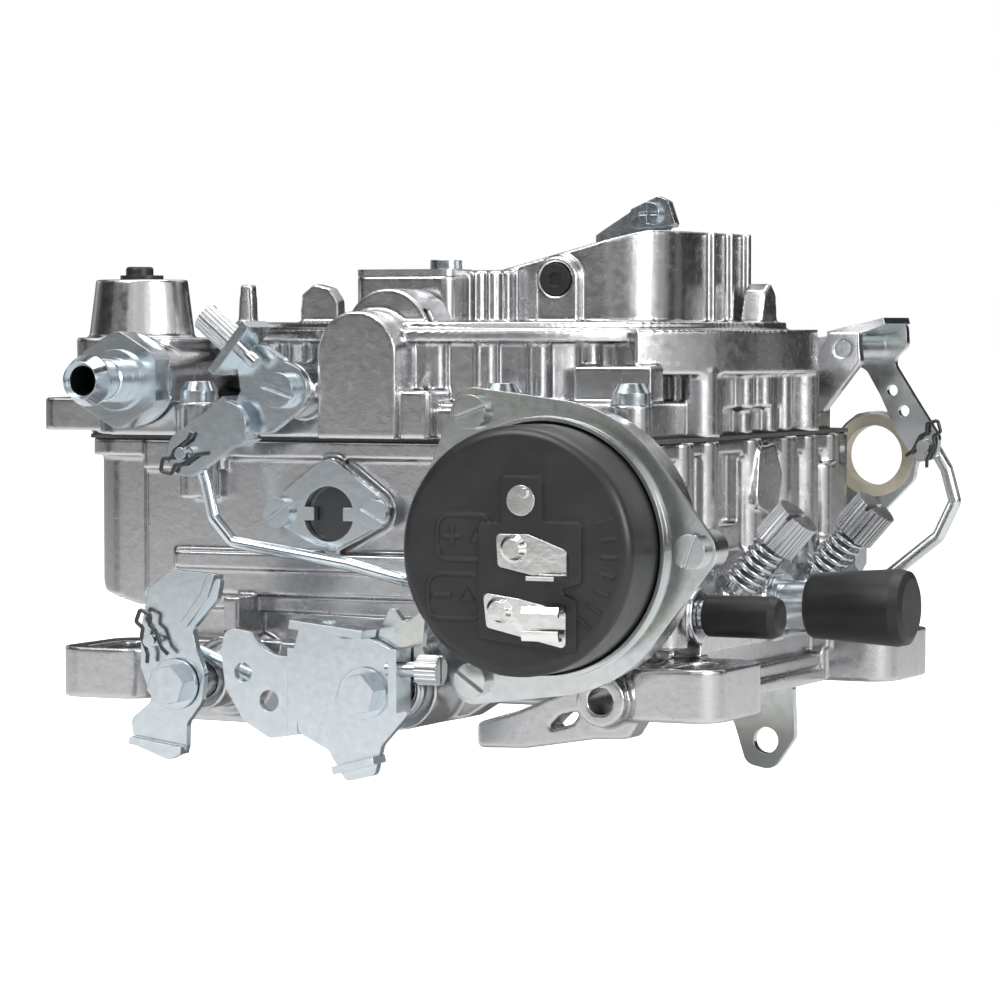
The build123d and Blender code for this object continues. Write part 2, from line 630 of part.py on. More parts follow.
# (y, radius)
barb_profile = [
    (-58.6, 0), (-58.6, 5.5), (-76.0, 5.5), (-76.0, 6.9), (-77.2, 6.9), (-77.2, 4.9),
    (-82.0, 4.9), (-82.4, 4.5), (-88.0, 4.5), (-88.0, 5.7), (-89.0, 5.8), (-92.6, 4.3),
    (-92.6, 0)]
with BuildPart() as fuel_inlet_fitting:
    # hexagon with its corners turned down, and a flange
    hex_y(inlet_x, inlet_z, 9.9, -69.6, -76.0, rotation=30)
    cyl_y(inlet_x, inlet_z, 10.9, -69.6, -76.0, Mode.INTERSECT)
    cyl_y(inlet_x, inlet_z, 10.6, -68.2, -69.8)
    with BuildSketch(Plane.YZ.offset(inlet_x)):
        with BuildLine():
            Polyline(*[(y, inlet_z + r) for y, r in barb_profile], close=True)
        make_face()
    revolve(axis=Axis((inlet_x, 0, inlet_z), (0, 1, 0)))
    cyl_y(inlet_x, inlet_z, 3.4, -50, -95, CUT)
    cyl_y(inlet_x, inlet_z, 4.1, -92.7, -91.1, CUT)
save(fuel_inlet_fitting, "fuel_inlet_fitting")

# ===========================================================================
# Sight window: diamond plate, glass and two screws
# ===========================================================================
with BuildPart() as sight_plate:
    with BuildSketch(Plane.XZ.offset(67.2)) as diamond:
        with BuildLine():
            Polyline((-30.0, 43.2), (-12.5, 56.2), (5.2, 43.2), (-12.5, 34.2), close=True)
        make_face()
        fillet(diamond.vertices(), 4.4)
        with Locations((sight_x, sight_z)):
            Circle(6.2, mode=CUT)
        with Locations(*[(x, sight_screws_z) for x in sight_screws_x]):
            Circle(1.9, mode=CUT)
    extrude(amount=2.0)
    # two bars across the edge of the opening
    with BuildSketch(Plane.XZ.offset(67.2)):
        with Locations((sight_x - 5.2, sight_z), (sight_x + 5.2, sight_z)):
            Rectangle(3.2, 3.0)
    extrude(amount=2.0)
save(sight_plate, "sight_plate")

with BuildPart() as sight_glass:
    cyl_y(sight_x, sight_z, 6.35, -62.0, -66.9)
save(sight_glass, "sight_glass")


def slot_screw_y(x, z, seat, head_r, head_h, shank_r, shank_length, slot_angle):
    """Slotted screw along Y with its head on the -Y side of the seat."""
    cyl_y(x, z, shank_r, seat + shank_length, seat - 0.3)
    cyl_y(x, z, head_r, seat, seat - head_h)
    ux, uz = cos(radians(slot_angle)), sin(radians(slot_angle))
    half_w, half_l = 0.45, head_r * 1.3
    corners = [(x + i * half_l * ux + j * half_w * uz, z + i * half_l * uz - j * half_w * ux)
               for i, j in ((-1, 1), (1, 1), (1, -1), (-1, -1))]
    prism_xz(corners, seat - head_h * 0.5, seat - (head_h + 1), mode=CUT)


with BuildPart() as sight_screws:
    for x, angle in zip(sight_screws_x, (35, -28)):
        slot_screw_y(x, sight_screws_z, -69.2, head_r=3.4, head_h=1.9, shank_r=1.8,
                     shank_length=7.0, slot_angle=angle)
save(sight_screws, "sight_screws")

# ===========================================================================
# Step-up covers on their towers
# ===========================================================================
with BuildPart() as step_up_covers:
    for y in (-step_y, step_y):
        block(-17.5, 7.2, y - 6.6, y + 6.6, step_top, 97.7, 3)
        cyl_z(step_screw_x, y, 1.7, 95, 99, CUT)
save(step_up_covers, "step_up_covers")

# ===========================================================================
# Venturi boosters, pump nozzle, jets, needle seats
# ===========================================================================
# ring profiles, (radius, z)
prim_ring = [(6.2, 41), (8.4, 41), (8.8, 46), (8.8, 56), (7.6, 56.4), (6.6, 52), (6.0, 46)]
sec_ring = [(8.2, 43), (10.4, 43), (10.8, 48), (10.8, 55), (9.6, 55.4), (8.6, 52), (8.0, 48)]
# (x, ring, arm x range, arm top, foot x range)
boosters = [(prim_x, prim_ring, (prim_x + 8.0, 37.0), 58.8, (30.8, 37.0)),
            (sec_x, sec_ring, (-64.0, sec_x - 10.0), 57.4, (-64.0, -57.4))]
with BuildPart() as venturi_boosters:
    for x, ring, arm_span, arm_top, foot_span in boosters:
        for y in (-bore_y, bore_y):
            turned_z(x, y, ring)
            block(*arm_span, y - 2.4, y + 2.4, 53.6, arm_top)
            block(*foot_span, y - 4.0, y + 4.0, 53.0, 59.1)
save(venturi_boosters, "venturi_boosters")

with BuildPart() as pump_nozzle:
    block(20.5, 29.5, -4.8, 4.8, body_top, 65.0, 2)
    cyl_y(24, 63, 1.6, -9, 9)
    cyl_z(25.5, 0, 3.0, 64.9, 67.5)
    block(22, 29, -0.5, 0.5, 66.4, 68, mode=CUT)
save(pump_nozzle, "pump_nozzle")

with BuildPart() as jets_and_seats:
    # main metering jets in the bowl floors
    for y in (-jet_y, jet_y):
        cyl_z(step_x, y, 2.45, 24, 29.2)
        cyl_z(step_x, y, 3.9, 29.0, 30.6)
        cyl_z(step_x, y, 1.3, 23, 31, CUT)
        block(step_x - 5, step_x + 5, y - 0.45, y + 0.45, 29.9, 32, mode=CUT)
    # needle seats screwed up into the air horn
    for y in (-needle_y, needle_y):
        cyl_z(needle_x, y, 3.55, 61.6, 70)
        with BuildSketch(Plane.XY.offset(61.0)):
            with Locations((needle_x, y)):
                RegularPolygon(radius=4.6, side_count=6)
        extrude(amount=2.6)
        cyl_z(needle_x, y, 1.3, 60, 71, CUT)
        cyl_z(needle_x, y, 2.5, 60, 66, CUT)
save(jets_and_seats, "jets_and_seats")

# ===========================================================================
# Floats with their inlet needles, and step-up pistons, one each side
# ===========================================================================
float_outline = [(-57.0, 34.2), (-17.5, 34.2), (-17.5, 48.0), (-22, 52.0), (-57.0, 52.0)]
hinge_arm = [(-69.4, 55.2), (-69.4, 58.0), (-58.6, 58.0), (-52, 53.6), (-52, 50.8),
             (-58, 50.8), (-66, 55.2)]
# (radius, z)
needle_profile = [(0, 58.06), (1.2, 58.06), (1.2, 64.2), (0.4, 66.2), (0, 66.2)]
for name, side in (("near", -1), ("far", 1)):
    with BuildPart() as float_part:
        prism_xz(float_outline, side * 59.6, side * 49.8, 3.0)
        # hinge arm and pin
        prism_xz(hinge_arm, side * 56.0, side * 52.4)
        cyl_y(hinge_x, hinge_z, 1.0, side * 59.4, side * 49.2)
        # inlet needle resting on the float arm
        turned_z(needle_x, side * needle_y, needle_profile)
    save(float_part, "float_" + name)

    # step-up piston with its hanger and metering rod
    with BuildPart() as step_up_piston:
        y = side * step_y
        cyl_z(step_x, y, step_r, 48.0, 58.0)
        cyl_z(step_x, y, 2.6, 47.0, 53.0, CUT)
        cyl_z(step_x, y, 0.8, 57.5, 63.2)
        with BuildSketch(Plane.XY.offset(62.0)):
            with Locations((step_x, side * (step_y + jet_y) / 2)):
                Rectangle(1.6, jet_y - step_y + 1.6)
        extrude(amount=1.2)
        cyl_z(step_x, side * jet_y, 0.9, 27.0, 62.5)
    save(step_up_piston, "step_up_piston_" + name)

# ===========================================================================
# Electric choke: housing, cap, retainer, coil and terminals
# ===========================================================================
ear_angles = (0.0, 120.6, 239.4)
ears = [(choke_x + choke_pcr * cos(radians(a)), choke_z + choke_pcr * sin(radians(a)))
        for a in ear_angles]
rivets = ((49.6, 38.6), (46.4, 25.6))    # (x, z)

with BuildPart() as choke_housing:
    cyl_y(choke_x, choke_z, 30.4, -76.0, -84.2)
    cyl_y(choke_x, choke_z, 17.0, -67.5, -76.2)
    for x, z in ears:
        root = (choke_x + (x - choke_x) * 0.62, choke_z + (z - choke_z) * 0.62)
        bar_xz(root, (x, z), 4.4, -77.5, -84.2)
        cyl_y(x, z, 4.4, -84.0, -86.0)
    cyl_y(choke_x, choke_z, 26.0, -79.0, -85, CUT)
    cyl_y(choke_x, choke_z, 3.04, -60, -90, CUT)
    # slot in the neck for the outer thermostat lever
    prism_xz([(choke_x, choke_z + 5.5), (choke_x - 24, choke_z + 3.0),
              (choke_x - 24, choke_z - 17), (choke_x - 16, choke_z - 19),
              (choke_x, choke_z - 5.5)], -69.4, -73.6, mode=CUT)
    cyl_y(choke_x, choke_z, 5.6, -69.4, -73.6, CUT)
    for x, z in ears:
        cyl_y(x, z, 1.65, -70, -90, CUT)
save(choke_housing, "choke_housing")

terminal_border = [
    (46.2, 43.8), (41.0, 43.8), (41.0, 19.6), (63.4, 16.8), (63.4, 28.0), (58.6, 29.8),
    (64.5, 31.6), (64.5, 44.2), (55.6, 44.2), (55.6, 53.6), (46.2, 53.6)]
with BuildPart() as choke_cap:
    cyl_y(choke_x, choke_z, 28.7, -84.3, -86.0)
    cyl_y(choke_x, choke_z, 26.4, -85.8, -104.2)
    fillet(choke_cap.faces().sort_by(Axis.Y)[0].edges(), 2.4)
    # raised area round the terminals
    prism_xz(terminal_border, -104.0, -104.9, 0.8)
    # plus and minus labels in rounded outlines
    for x, z in ((37.6, 40.6), (35.4, 28.2)):
        with BuildSketch(Plane.XZ.offset(104.0)):
            with Locations((x, z)):
                RectangleRounded(13.4, 10.2, 3.2)
                RectangleRounded(11.8, 8.6, 2.6, mode=CUT)
        extrude(amount=0.6)
    with BuildSketch(Plane.XZ.offset(104.0)):
        with Locations((34.8, 40.8)):
            Rectangle(4.4, 0.9)
            Rectangle(0.9, 4.4)
        with Locations((32.4, 28.4)):
            Rectangle(4.4, 0.9)
        with Locations((40.4, 40.6), (38.4, 28.2)):
            Triangle(a=3.2, b=3.2, c=3.2)
    extrude(amount=0.6)
    # index marks for the mixture adjustment round the +X edge
    with BuildSketch(Plane.XZ.offset(104.0)):
        with Locations((choke_x, choke_z)):
            with PolarLocations(21.6, 9, start_angle=-62, angular_range=80, endpoint=True):
                Rectangle(3.6, 0.7)
    extrude(amount=0.5)
    # hollow back with a centre post
    cyl_y(choke_x, choke_z, 24.6, -84, -101.2, CUT)
    cyl_y(choke_x, choke_z, 3.0, -101.0, -97.0)
    for x, z in rivets:
        cyl_y(x, z, 1.1, -90, -110, CUT)
save(choke_cap, "choke_cap")

ring_r, ear_r = 31.6, 5.2
flank_angle = degrees(acos((ring_r - ear_r) / choke_pcr))
with BuildPart() as choke_retainer:
    with BuildSketch(Plane.XZ.offset(86.05)):
        with Locations((choke_x, choke_z)):
            Circle(ring_r)
        for x, z in ears:
            with Locations((x, z)):
                Circle(ear_r)
        # straight flanks from the ring out to each ear
        for angle in ear_angles:
            flank = []
            for turn, r, out in ((1, ring_r, 0), (1, ear_r, choke_pcr),
                                 (-1, ear_r, choke_pcr), (-1, ring_r, 0)):
                tangent = radians(angle + turn * flank_angle)
                flank.append((choke_x + out * cos(radians(angle)) + r * cos(tangent),
                              choke_z + out * sin(radians(angle)) + r * sin(tangent)))
            with BuildLine():
                Polyline(*flank, close=True)
            make_face()
        with Locations((choke_x, choke_z)):
            Circle(27.0, mode=CUT)
        for x, z in ears:
            with Locations((x, z)):
                Circle(1.9, mode=CUT)
    extrude(amount=1.5)
    # turned-up inner lip
    tube_y(choke_x, choke_z, 27.9, 27.0, -87.0, -89.6)
save(choke_retainer, "choke_retainer")

with BuildPart() as choke_retainer_screws:
    for (x, z), angle in zip(ears, (70, 20, -35)):
        slot_screw_y(x, z, -87.55, head_r=3.7, head_h=2.4, shank_r=1.6, shank_length=14,
                     slot_angle=angle)
save(choke_retainer_screws, "choke_retainer_screws")


def spiral(start_r, growth=15.0, turns=3.5, steps=96):
    """Points of a spiral round the choke axis, from the inside out."""
    return [(choke_x + (start_r + growth * i / steps) * cos(2 * pi * turns * i / steps),
             choke_z + (start_r + growth * i / steps) * sin(2 * pi * turns * i / steps))
            for i in range(steps + 1)]


with BuildPart() as bimetal_coil:
    edge_out = spiral(4.0)
    edge_back = spiral(4.6)[::-1]
    with BuildSketch(Plane.XZ.offset(88.0)):
        with BuildLine():
            Spline(*edge_out)
            Line(edge_out[-1], edge_back[0])
            Spline(*edge_back)
            Line(edge_back[-1], edge_out[0])
        make_face()
    extrude(amount=7.0)
save(bimetal_coil, "bimetal_coil")

terminal_y = -104.95
upper_foot = [(46.0, 34.8), (56.5, 32.6), (61.6, 32.2), (61.6, 38.4), (53.0, 41.6),
              (45.6, 41.6)]
lower_foot = [(43.4, 22.0), (55.0, 19.4), (61.4, 18.0), (61.4, 25.8), (50.5, 28.2),
              (42.6, 29.2)]
# (y, height from the middle of the receptacle)
rolled_edge = [(-105.6, 3.6), (-108.4, 3.6), (-108.9, 2.2), (-108.9, 1.4), (-108.0, 1.4),
               (-108.0, 2.4), (-107.6, 2.8), (-105.6, 2.8)]
with BuildPart() as choke_terminals:
    # positive terminal: riveted foot with a spade folded outwards
    prism_xz(upper_foot, terminal_y, terminal_y - 0.9, 1.0)
    block(55.25, 61.55, -112.2, -105.6, 32.4, 33.3)
    # negative terminal: foot with rolled receptacle edges
    prism_xz(lower_foot, terminal_y, terminal_y - 0.9, 1.0)
    for side in (1, -1):
        with BuildSketch(Plane.YZ.offset(52.6)):
            with BuildLine():
                Polyline(*[(y, 23.2 + side * z) for y, z in rolled_edge], close=True)
            make_face()
        extrude(amount=8.4)
    # ground tab at the top
    cyl_y(51.0, 48.6, 3.2, terminal_y, terminal_y - 0.5)
    # rivets through the cap, headed over the terminal feet
    for x, z in rivets:
        cyl_y(x, z, 1.05, -101.3, -106.0)
        with BuildSketch(Plane.XZ.offset(105.8)) as rivet_head:
            with Locations((x, z)):
                Circle(3.0)
        extrude(rivet_head.sketch, amount=1.5, taper=35)
    cyl_y(51.8, 50.2, 1.0, -105.4, -106.2)
save(choke_terminals, "choke_terminals")

# thermostat shaft with its outer and inner levers
thermostat_pin = (15.0, 28.0)    # link rod hole, (x, z)
with BuildPart() as thermostat_lever:
    cyl_y(choke_x, choke_z, 3.0, -69.6, -88.0)
    bar_xz((choke_x, choke_z), thermostat_pin, 3.1, -70.4, -72.4)
    cyl_y(choke_x, choke_z, 5.0, -70.0, -73.2)
    bar_xz((choke_x, choke_z), (choke_x + 17.8, choke_z + 2.0), 1.6, -80.4, -82.0)
    cyl_y(*thermostat_pin, 1.9, -60, -80, CUT)
save(thermostat_lever, "thermostat_lever")

# ===========================================================================
# Choke valve in the tower
# ===========================================================================
choke_plane = Plane(origin=(choke_shaft_x, 0, choke_shaft_z),
                    x_dir=(cos(slope), 0, sin(slope)), z_dir=(-sin(slope), 0, cos(slope)))
plate_screws = ((0, -16), (0, 16))       # on choke_plane
ear_y = -20.0
ear_screw_x, ear_screw_z = 44.9, 110.4

with BuildPart() as choke_shaft:
    cyl_y(choke_shaft_x, choke_shaft_z, choke_shaft_r, 38.6, -32.8)
    cyl_y(choke_shaft_x, choke_shaft_z, 3.4, 36.6, 38.6)
    # flat that the plate is screwed to
    with BuildSketch(Plane.XZ.offset(-29.7)):
        with Locations((choke_shaft_x - 3.0 * sin(slope), choke_shaft_z + 3.0 * cos(slope))):
            Rectangle(12, 6.0, rotation=degrees(slope))
    extrude(amount=59.4, mode=CUT)
    # tapped holes for the two plate screws
    with BuildSketch(choke_plane.offset(-4.0)):
        with Locations(*plate_screws):
            Circle(1.3)
    extrude(amount=8.0, mode=CUT)
save(choke_shaft, "choke_shaft")

with BuildPart() as choke_plate:
    with BuildSketch(choke_plane.offset(0.02)):
        RectangleRounded(42.3, 59.0, 12.2)
        with Locations(*plate_screws):
            Circle(1.3, mode=CUT)
    extrude(amount=1.4)
save(choke_plate, "choke_plate")

with BuildPart() as choke_plate_screws:
    # shanks, then heads: (start above choke_plane, radius, length)
    for start, r, length in ((-1.0, 1.25, 3.0), (1.45, 2.6, 1.6)):
        with BuildSketch(choke_plane.offset(start)):
            with Locations(*plate_screws):
                Circle(r)
        extrude(amount=length)
    with BuildSketch(choke_plane.offset(2.3)):
        with Locations(*plate_screws):
            Rectangle(5.4, 0.7)
    extrude(amount=2, mode=CUT)
    # cross-slotted screw of the ear
    cyl_y(ear_screw_x, ear_screw_z, 1.4, ear_y + 5.6, ear_y + 2.61)
    cyl_y(ear_screw_x, ear_screw_z, 2.6, ear_y - 0.22, ear_y - 2.0)
    for half_x, half_z in ((2.3, 0.35), (0.35, 2.3)):
        block(ear_screw_x - half_x, ear_screw_x + half_x, ear_y - 3, ear_y - 1.2,
              ear_screw_z - half_z, ear_screw_z + half_z, mode=CUT)
save(choke_plate_screws, "choke_plate_screws")

# folded bracket on the choke plate: sloping strap and an upright ear
ear_side = [(31.2, 97.95), (43.6, 101.25), (48.3, 105.3), (48.6, 107.0), (50.9, 107.4),
            (48.9, 113.2), (46.4, 114.2), (40.4, 111.6), (30.6, 105.6)]
with BuildPart() as choke_ear:
    with BuildSketch(choke_plane.offset(1.46)):
        with Locations((9.0, ear_y + 7.0)):
            RectangleRounded(12.0, 9.0, 1.2)
    extrude(amount=1.2)
    prism_xz(ear_side, ear_y + 2.6, ear_y + 1.2, 0.8)
    prism_xz([(30.0, 104.4), (40.0, 110.6), (40.0, 109.2), (30.6, 103.2)],
             ear_y + 2.6, ear_y + 11.0)
    prism_xz([(39.8, 107.0), (50.9, 107.6), (48.9, 113.4), (46.5, 114.3), (39.8, 111.4)],
             ear_y + 1.2, ear_y - 0.2, 0.8)
save(choke_ear, "choke_ear")

with BuildPart() as black_plugs:
    # vent plug on the inlet tower
    cyl_z(vent_x, vent_y, 3.14, 91, 96.0)
    cyl_z(vent_x, vent_y, 5.0, 95.62, 96.6)
    cyl_z(-71.4, vent_y, 3.2, 96.5, 98.6)
    fillet(black_plugs.edges().group_by(Axis.Z)[-1], 0.7)
    # plug over the near end of the choke shaft
    cyl_y(choke_shaft_x, choke_shaft_z, 3.66, -33.05, -36.6)
    cyl_y(choke_shaft_x, choke_shaft_z, 1.6, -35.9, -38, CUT)
save(black_plugs, "black_plugs")

# ===========================================================================
# Secondary air valve
# ===========================================================================
with BuildPart() as air_valve:
    cyl_y(valve_x, valve_z, valve_shaft_r, 37.8, -37.8)
    block(-51.7, -16.3, -33.5, 33.5, 79.0, 80.2, 8.4)
    # stiffening ribs
    for y in (-22, 22):
        block(-50, -20, y - 0.8, y + 0.8, 80.0, 81.6)
save(air_valve, "air_valve")

# ===========================================================================
# Rear link lever on the choke side, its adjusting screw, rod and clip
# ===========================================================================
rod_x, rod_z = -40.6, 56.6       # rod hole in the lever
adjuster_dir = Vector(-0.773, 0, 0.634)
adjuster_middle = Vector(-27.9, -82.0, 80.2)


def adjuster_plane(along):
    """Plane across the adjusting screw."""
    return Plane(origin=adjuster_middle + adjuster_dir * along, z_dir=adjuster_dir)


with BuildPart() as link_lever:
    bar_xz((link_x, link_z), (-24.5, 67.0), 6.2, -76.1, -78.1)
    prism_xz([(-24.6, 71.0), (-16.6, 76.2), (-24.0, 80.8), (-31.0, 79.4), (-29.5, 69.0)],
             -76.1, -78.1, 2.0)
    # jog down to the rod end
    prism_xz([(-31.4, 69.4), (-25.4, 59.8), (-28.2, 58.0), (-34.2, 67.6)], -76.1, -83.0)
    bar_xz((-31.0, 63.0), (rod_x, rod_z), 5.2, -81.0, -83.0)
    # folded tab that carries the adjusting screw
    prism_xz([(-31.5, 74.0), (-22.8, 84.6), (-24.4, 85.9), (-33.1, 75.3)], -76.1, -87.0)
    cyl_y(link_x, link_z, 1.94, -70, -85, CUT)
    cyl_y(rod_x, rod_z, 1.5, -70, -90, CUT)
    disc(adjuster_plane(-6), 0, 0, 1.66, 12, CUT)
save(link_lever, "link_lever")

with BuildPart() as link_adjuster:
    disc(adjuster_plane(-5.5), 0, 0, 1.6, 8)
    knurled(adjuster_plane(1.4), 3.1, 0.24, 22, 9.5)
    head_slot(adjuster_plane(9.6), 8, 0.9)
save(link_adjuster, "link_adjuster")

with BuildPart() as link_rod:
    pin_x, pin_z = thermostat_pin
    rod_path([(rod_x, -86.2, rod_z), (rod_x, -78.4, rod_z), (-38.2, -78.4, 50.0),
              (-36.4, -78.4, 42.2), (-31.5, -78.4, 36.8), (-3.0, -78.4, 32.6),
              (10.4, -78.4, 29.6), (pin_x, -75.6, pin_z), (pin_x, -69.9, pin_z)], 1.9, 1.4)
save(link_rod, "link_rod")

with BuildPart() as link_rod_clip:
    hairpin(rod_x, -84.2, rod_z, angle=214, pin_r=1.42)
save(link_rod_clip, "link_rod_clip")

# ===========================================================================
# Throttle shafts, plates and plate screws
# ===========================================================================
plate_screw_y = (-8, 8)          # plate screws from the barrel centre
# (name, x, bore radius, full-diameter y range, y of the far and near ends)
throttles = [("primary", prim_x, prim_bore_r, 74.3, -88.8, 80.0, -99.0),
             ("secondary", sec_x, sec_bore_r, 69.0, -93.0, 70.5, -97.4)]
for name, x, bore_r, full_far, full_near, far_end, near_end in throttles:
    with BuildPart() as shaft:
        cyl_y(x, shaft_z, shaft_r, full_far, full_near)
        cyl_y(x, shaft_z, 3.0, far_end, near_end)
        # flats and tapped holes for the plates
        for y in (-bore_y, bore_y):
            block(x - 5, x + 5, y - bore_r - 0.05, y + bore_r + 0.05, shaft_z, shaft_z + 6,
                  mode=CUT)
            for dy in plate_screw_y:
                cyl_z(x, y + dy, 1.3, shaft_z - 5, shaft_z + 5, CUT)
        # tapped hole for the lever bolt
        cyl_y(x, shaft_z, 1.9, near_end + 14, near_end - 1, CUT)
        if name == "secondary":
            tube_y(x, shaft_z, 4.9, 2.9, 69.0, 70.5)
    save(shaft, name + "_shaft")

    with BuildPart() as plates:
        for y in (-bore_y, bore_y):
            with BuildSketch(Plane.XY.offset(shaft_z + 0.01)):
                with Locations((x, y)):
                    Circle(bore_r - plate_gap)
                with Locations(*[(x, y + dy) for dy in plate_screw_y]):
                    Circle(1.4, mode=CUT)
            extrude(amount=plate_t)
        # the two screws that hold each plate on the shaft flat
        plate_top = shaft_z + plate_t
        for barrel_y in (-bore_y, bore_y):
            for dy in plate_screw_y:
                y = barrel_y + dy
                cyl_z(x, y, 1.25, shaft_z - 4.4, plate_top + 0.2)
                cyl_z(x, y, 2.5, plate_top + 0.03, plate_top + 1.5)
                block(x - 3, x + 3, y - 0.35, y + 0.35, plate_top + 0.9, plate_top + 3,
                      mode=CUT)
    save(plates, name + "_plates")


# ===========================================================================
# Choke-side levers
# ===========================================================================
def lever_bolt(x, seat):
    """Hex-head bolt with a captive washer, head towards -Y."""
    cyl_y(x, shaft_z, 1.85, seat + 13.0, seat - 0.2)
    cyl_y(x, shaft_z, 5.6, seat, seat - 1.0)
    hex_y(x, shaft_z, 4.0, seat - 1.0, seat - 4.8, rotation=12)


prim_pin_x, prim_pin_z = 5.9, -1.4       # link pin on the primary lever
sec_pin_x, sec_pin_z = -40.6, 16.0       # link pin on the secondary lever
idle_y, idle_z = -102.2, 12.2            # idle screw axis
hub_outline = [(-4.0, -2.5), (3.2, -6.0), (7.6, -12.6), (14.4, -11.0), (16.0, -4.6),
               (22.0, 2.0), (21.5, 14.6), (13.0, 18.4), (6.0, 18.0), (4.0, 22.0),
               (-3.6, 20.4), (-5.2, 15.2)]
rear_arm = [(-5.0, -3.4), (-5.0, 15.6), (-15.0, 18.0), (-24.0, 19.4), (-25.0, 14.0),
            (-24.0, 6.0), (-19.5, -1.0), (-13.0, -4.6)]
with BuildPart() as primary_lever:
    # hub plate round the bolt
    prism_xz(hub_outline, -98.0, -100.0, 1.6)
    tube_y(prim_x, shaft_z, 6.6, 3.0, -93.2, -98.2)
    # upper tab folded outwards
    prism_xz([(-3.8, 20.2), (13.6, 18.4), (13.9, 20.2), (-3.5, 22.0)], -98.0, -105.0)
    # rear arm, set back by a jog
    block(-6.6, -4.2, -100.0, -94.0, -2.4, 15.6)
    prism_xz(rear_arm, -94.0, -96.0, 2.6)
    # curved edge along the top of the arm, and its holes
    cyl_y(-9.5, 22.0, 8.6, -90, -97.0, CUT)
    cyl_y(-19.6, 9.6, 2.1, -90, -104, CUT)
    cyl_y(-13.2, 3.6, 2.3, -90, -104, CUT)
    # lower folded tab
    prism_xz([(6.4, -10.8), (16.2, -8.2), (15.8, -6.6), (6.0, -9.2)], -98.0, -104.0)
    # tab for the idle screw
    block(20.0, 22.0, -105.0, -98.0, 3.0, 16.5)
    cyl_x(idle_y, idle_z, 1.66, 18, 24, CUT)
    cyl_y(prim_x, shaft_z, 3.0, -90, -104, CUT)
save(primary_lever, "primary_lever")

# star-shaped fast-idle lever behind the hub
with BuildPart() as fast_idle_lever:
    with BuildSketch(Plane.XZ.offset(95.4)) as star:
        with BuildLine():
            Polyline((6.4, 3.0), (8.0, 13.5), (14.5, 20.5), (17.0, 25.6), (20.2, 21.4),
                     (25.2, 25.0), (24.4, 16.4), (27.0, 10.4), (20.6, 8.6), (18.2, 2.6),
                     close=True)
        make_face()
        fillet(star.vertices(), 1.1)
        with Locations((prim_x, shaft_z)):
            Circle(6.64, mode=CUT)
    extrude(amount=1.8)
save(fast_idle_lever, "fast_idle_lever")

with BuildPart() as idle_screw:
    # shank and knurled slotted head
    cyl_x(idle_y, idle_z, 1.6, 18.6, 28.0)
    cyl_x(idle_y, idle_z, 3.0, 26.2, 31.2)
    with BuildSketch(Plane.YZ.offset(26.2)):
        with Locations((idle_y, idle_z)):
            with PolarLocations(3.0, 20):
                Circle(0.25)
    extrude(amount=5.0)
    block(30.4, 36, idle_y - 0.4, idle_y + 0.4, 7, 17, mode=CUT)
save(idle_screw, "idle_screw")

with BuildPart() as primary_lever_bolt:
    lever_bolt(prim_x, -100.05)
save(primary_lever_bolt, "primary_lever_bolt")

paddle_outline = [
    (-44.6, 10.0), (-41.6, 2.6), (-47.0, -1.6), (-46.2, -7.4), (-37.5, -10.4),
    (-33.2, -8.2), (-33.0, -2.0), (-29.4, 2.6), (-28.6, 9.0), (-30.6, 14.0),
    (-31.6, 18.6), (-25.4, 25.4), (-24.2, 30.8), (-37.0, 31.5), (-42.5, 27.5),
    (-44.4, 18.6)]
with BuildPart() as secondary_lever:
    prism_xz(paddle_outline, -95.0, -97.0, 2.0)
    # bent flanges along the front edge of the paddle and the bottom
    prism_xz([(-24.8, 30.6), (-26.4, 25.8), (-31.8, 19.2), (-33.2, 20.2), (-28.2, 26.6),
              (-26.6, 30.8)], -95.0, -99.6)
    prism_xz([(-46.6, -7.0), (-33.6, -8.8), (-33.4, -7.2), (-46.4, -5.4)], -95.0, -99.0)
    tube_y(sec_x, shaft_z, 6.0, 3.0, -93.2, -95.1)
    cyl_y(sec_x, shaft_z, 3.0, -90, -104, CUT)
    cyl_y(sec_pin_x, sec_pin_z, 1.45, -90, -104, CUT)
save(secondary_lever, "secondary_lever")

with BuildPart() as secondary_lever_bolt:
    lever_bolt(sec_x, -97.5)
save(secondary_lever_bolt, "secondary_lever_bolt")

with BuildPart() as secondary_link:
    rod_path([(sec_pin_x, -100.6, sec_pin_z), (sec_pin_x, -90.6, sec_pin_z),
              (prim_pin_x, -90.6, prim_pin_z), (prim_pin_x, -93.1, prim_pin_z)], 2.0, 1.4)
save(secondary_link, "secondary_link")

with BuildPart() as secondary_link_clip:
    hairpin(sec_pin_x, -99.3, sec_pin_z, angle=112, pin_r=1.42)
save(secondary_link_clip, "secondary_link_clip")

# return spring wound round the shaft between boss and lever
with BuildPart() as primary_return_spring:
    coil(Plane(origin=(prim_x, -84.9, shaft_z), z_dir=(0, -1, 0)),
         radius=6.3, wire_r=0.75, pitch=1.55, turns=2.0)
save(primary_return_spring, "primary_return_spring")

# ===========================================================================
# Lever side: throttle lever, bushing, nut
# ===========================================================================
cable_x, cable_z = 64.9, 53.0      # throttle cable hole
pump_rod_x, pump_rod_z = 26.1, -7.6
lever_y = 76.0
lever_t = 2.4
lever_back = lever_y + lever_t     # outer face of the lever
throttle_outline = [
    (7.0, -4.0), (17.0, -9.5), (27.5, -14.0), (31.0, -25.0), (38.0, -26.5),
    (44.0, -18.0), (43.4, -5.0), (38.5, 2.0), (42.0, 12.0), (58.0, 26.0),
    (68.0, 40.0), (75.0, 47.0), (76.0, 57.0), (70.0, 64.0), (60.0, 63.4),
    (54.0, 56.0), (51.0, 46.0), (46.0, 36.0), (28.0, 23.0), (9.0, 18.0),
    (2.5, 12.0), (3.0, 2.0)]
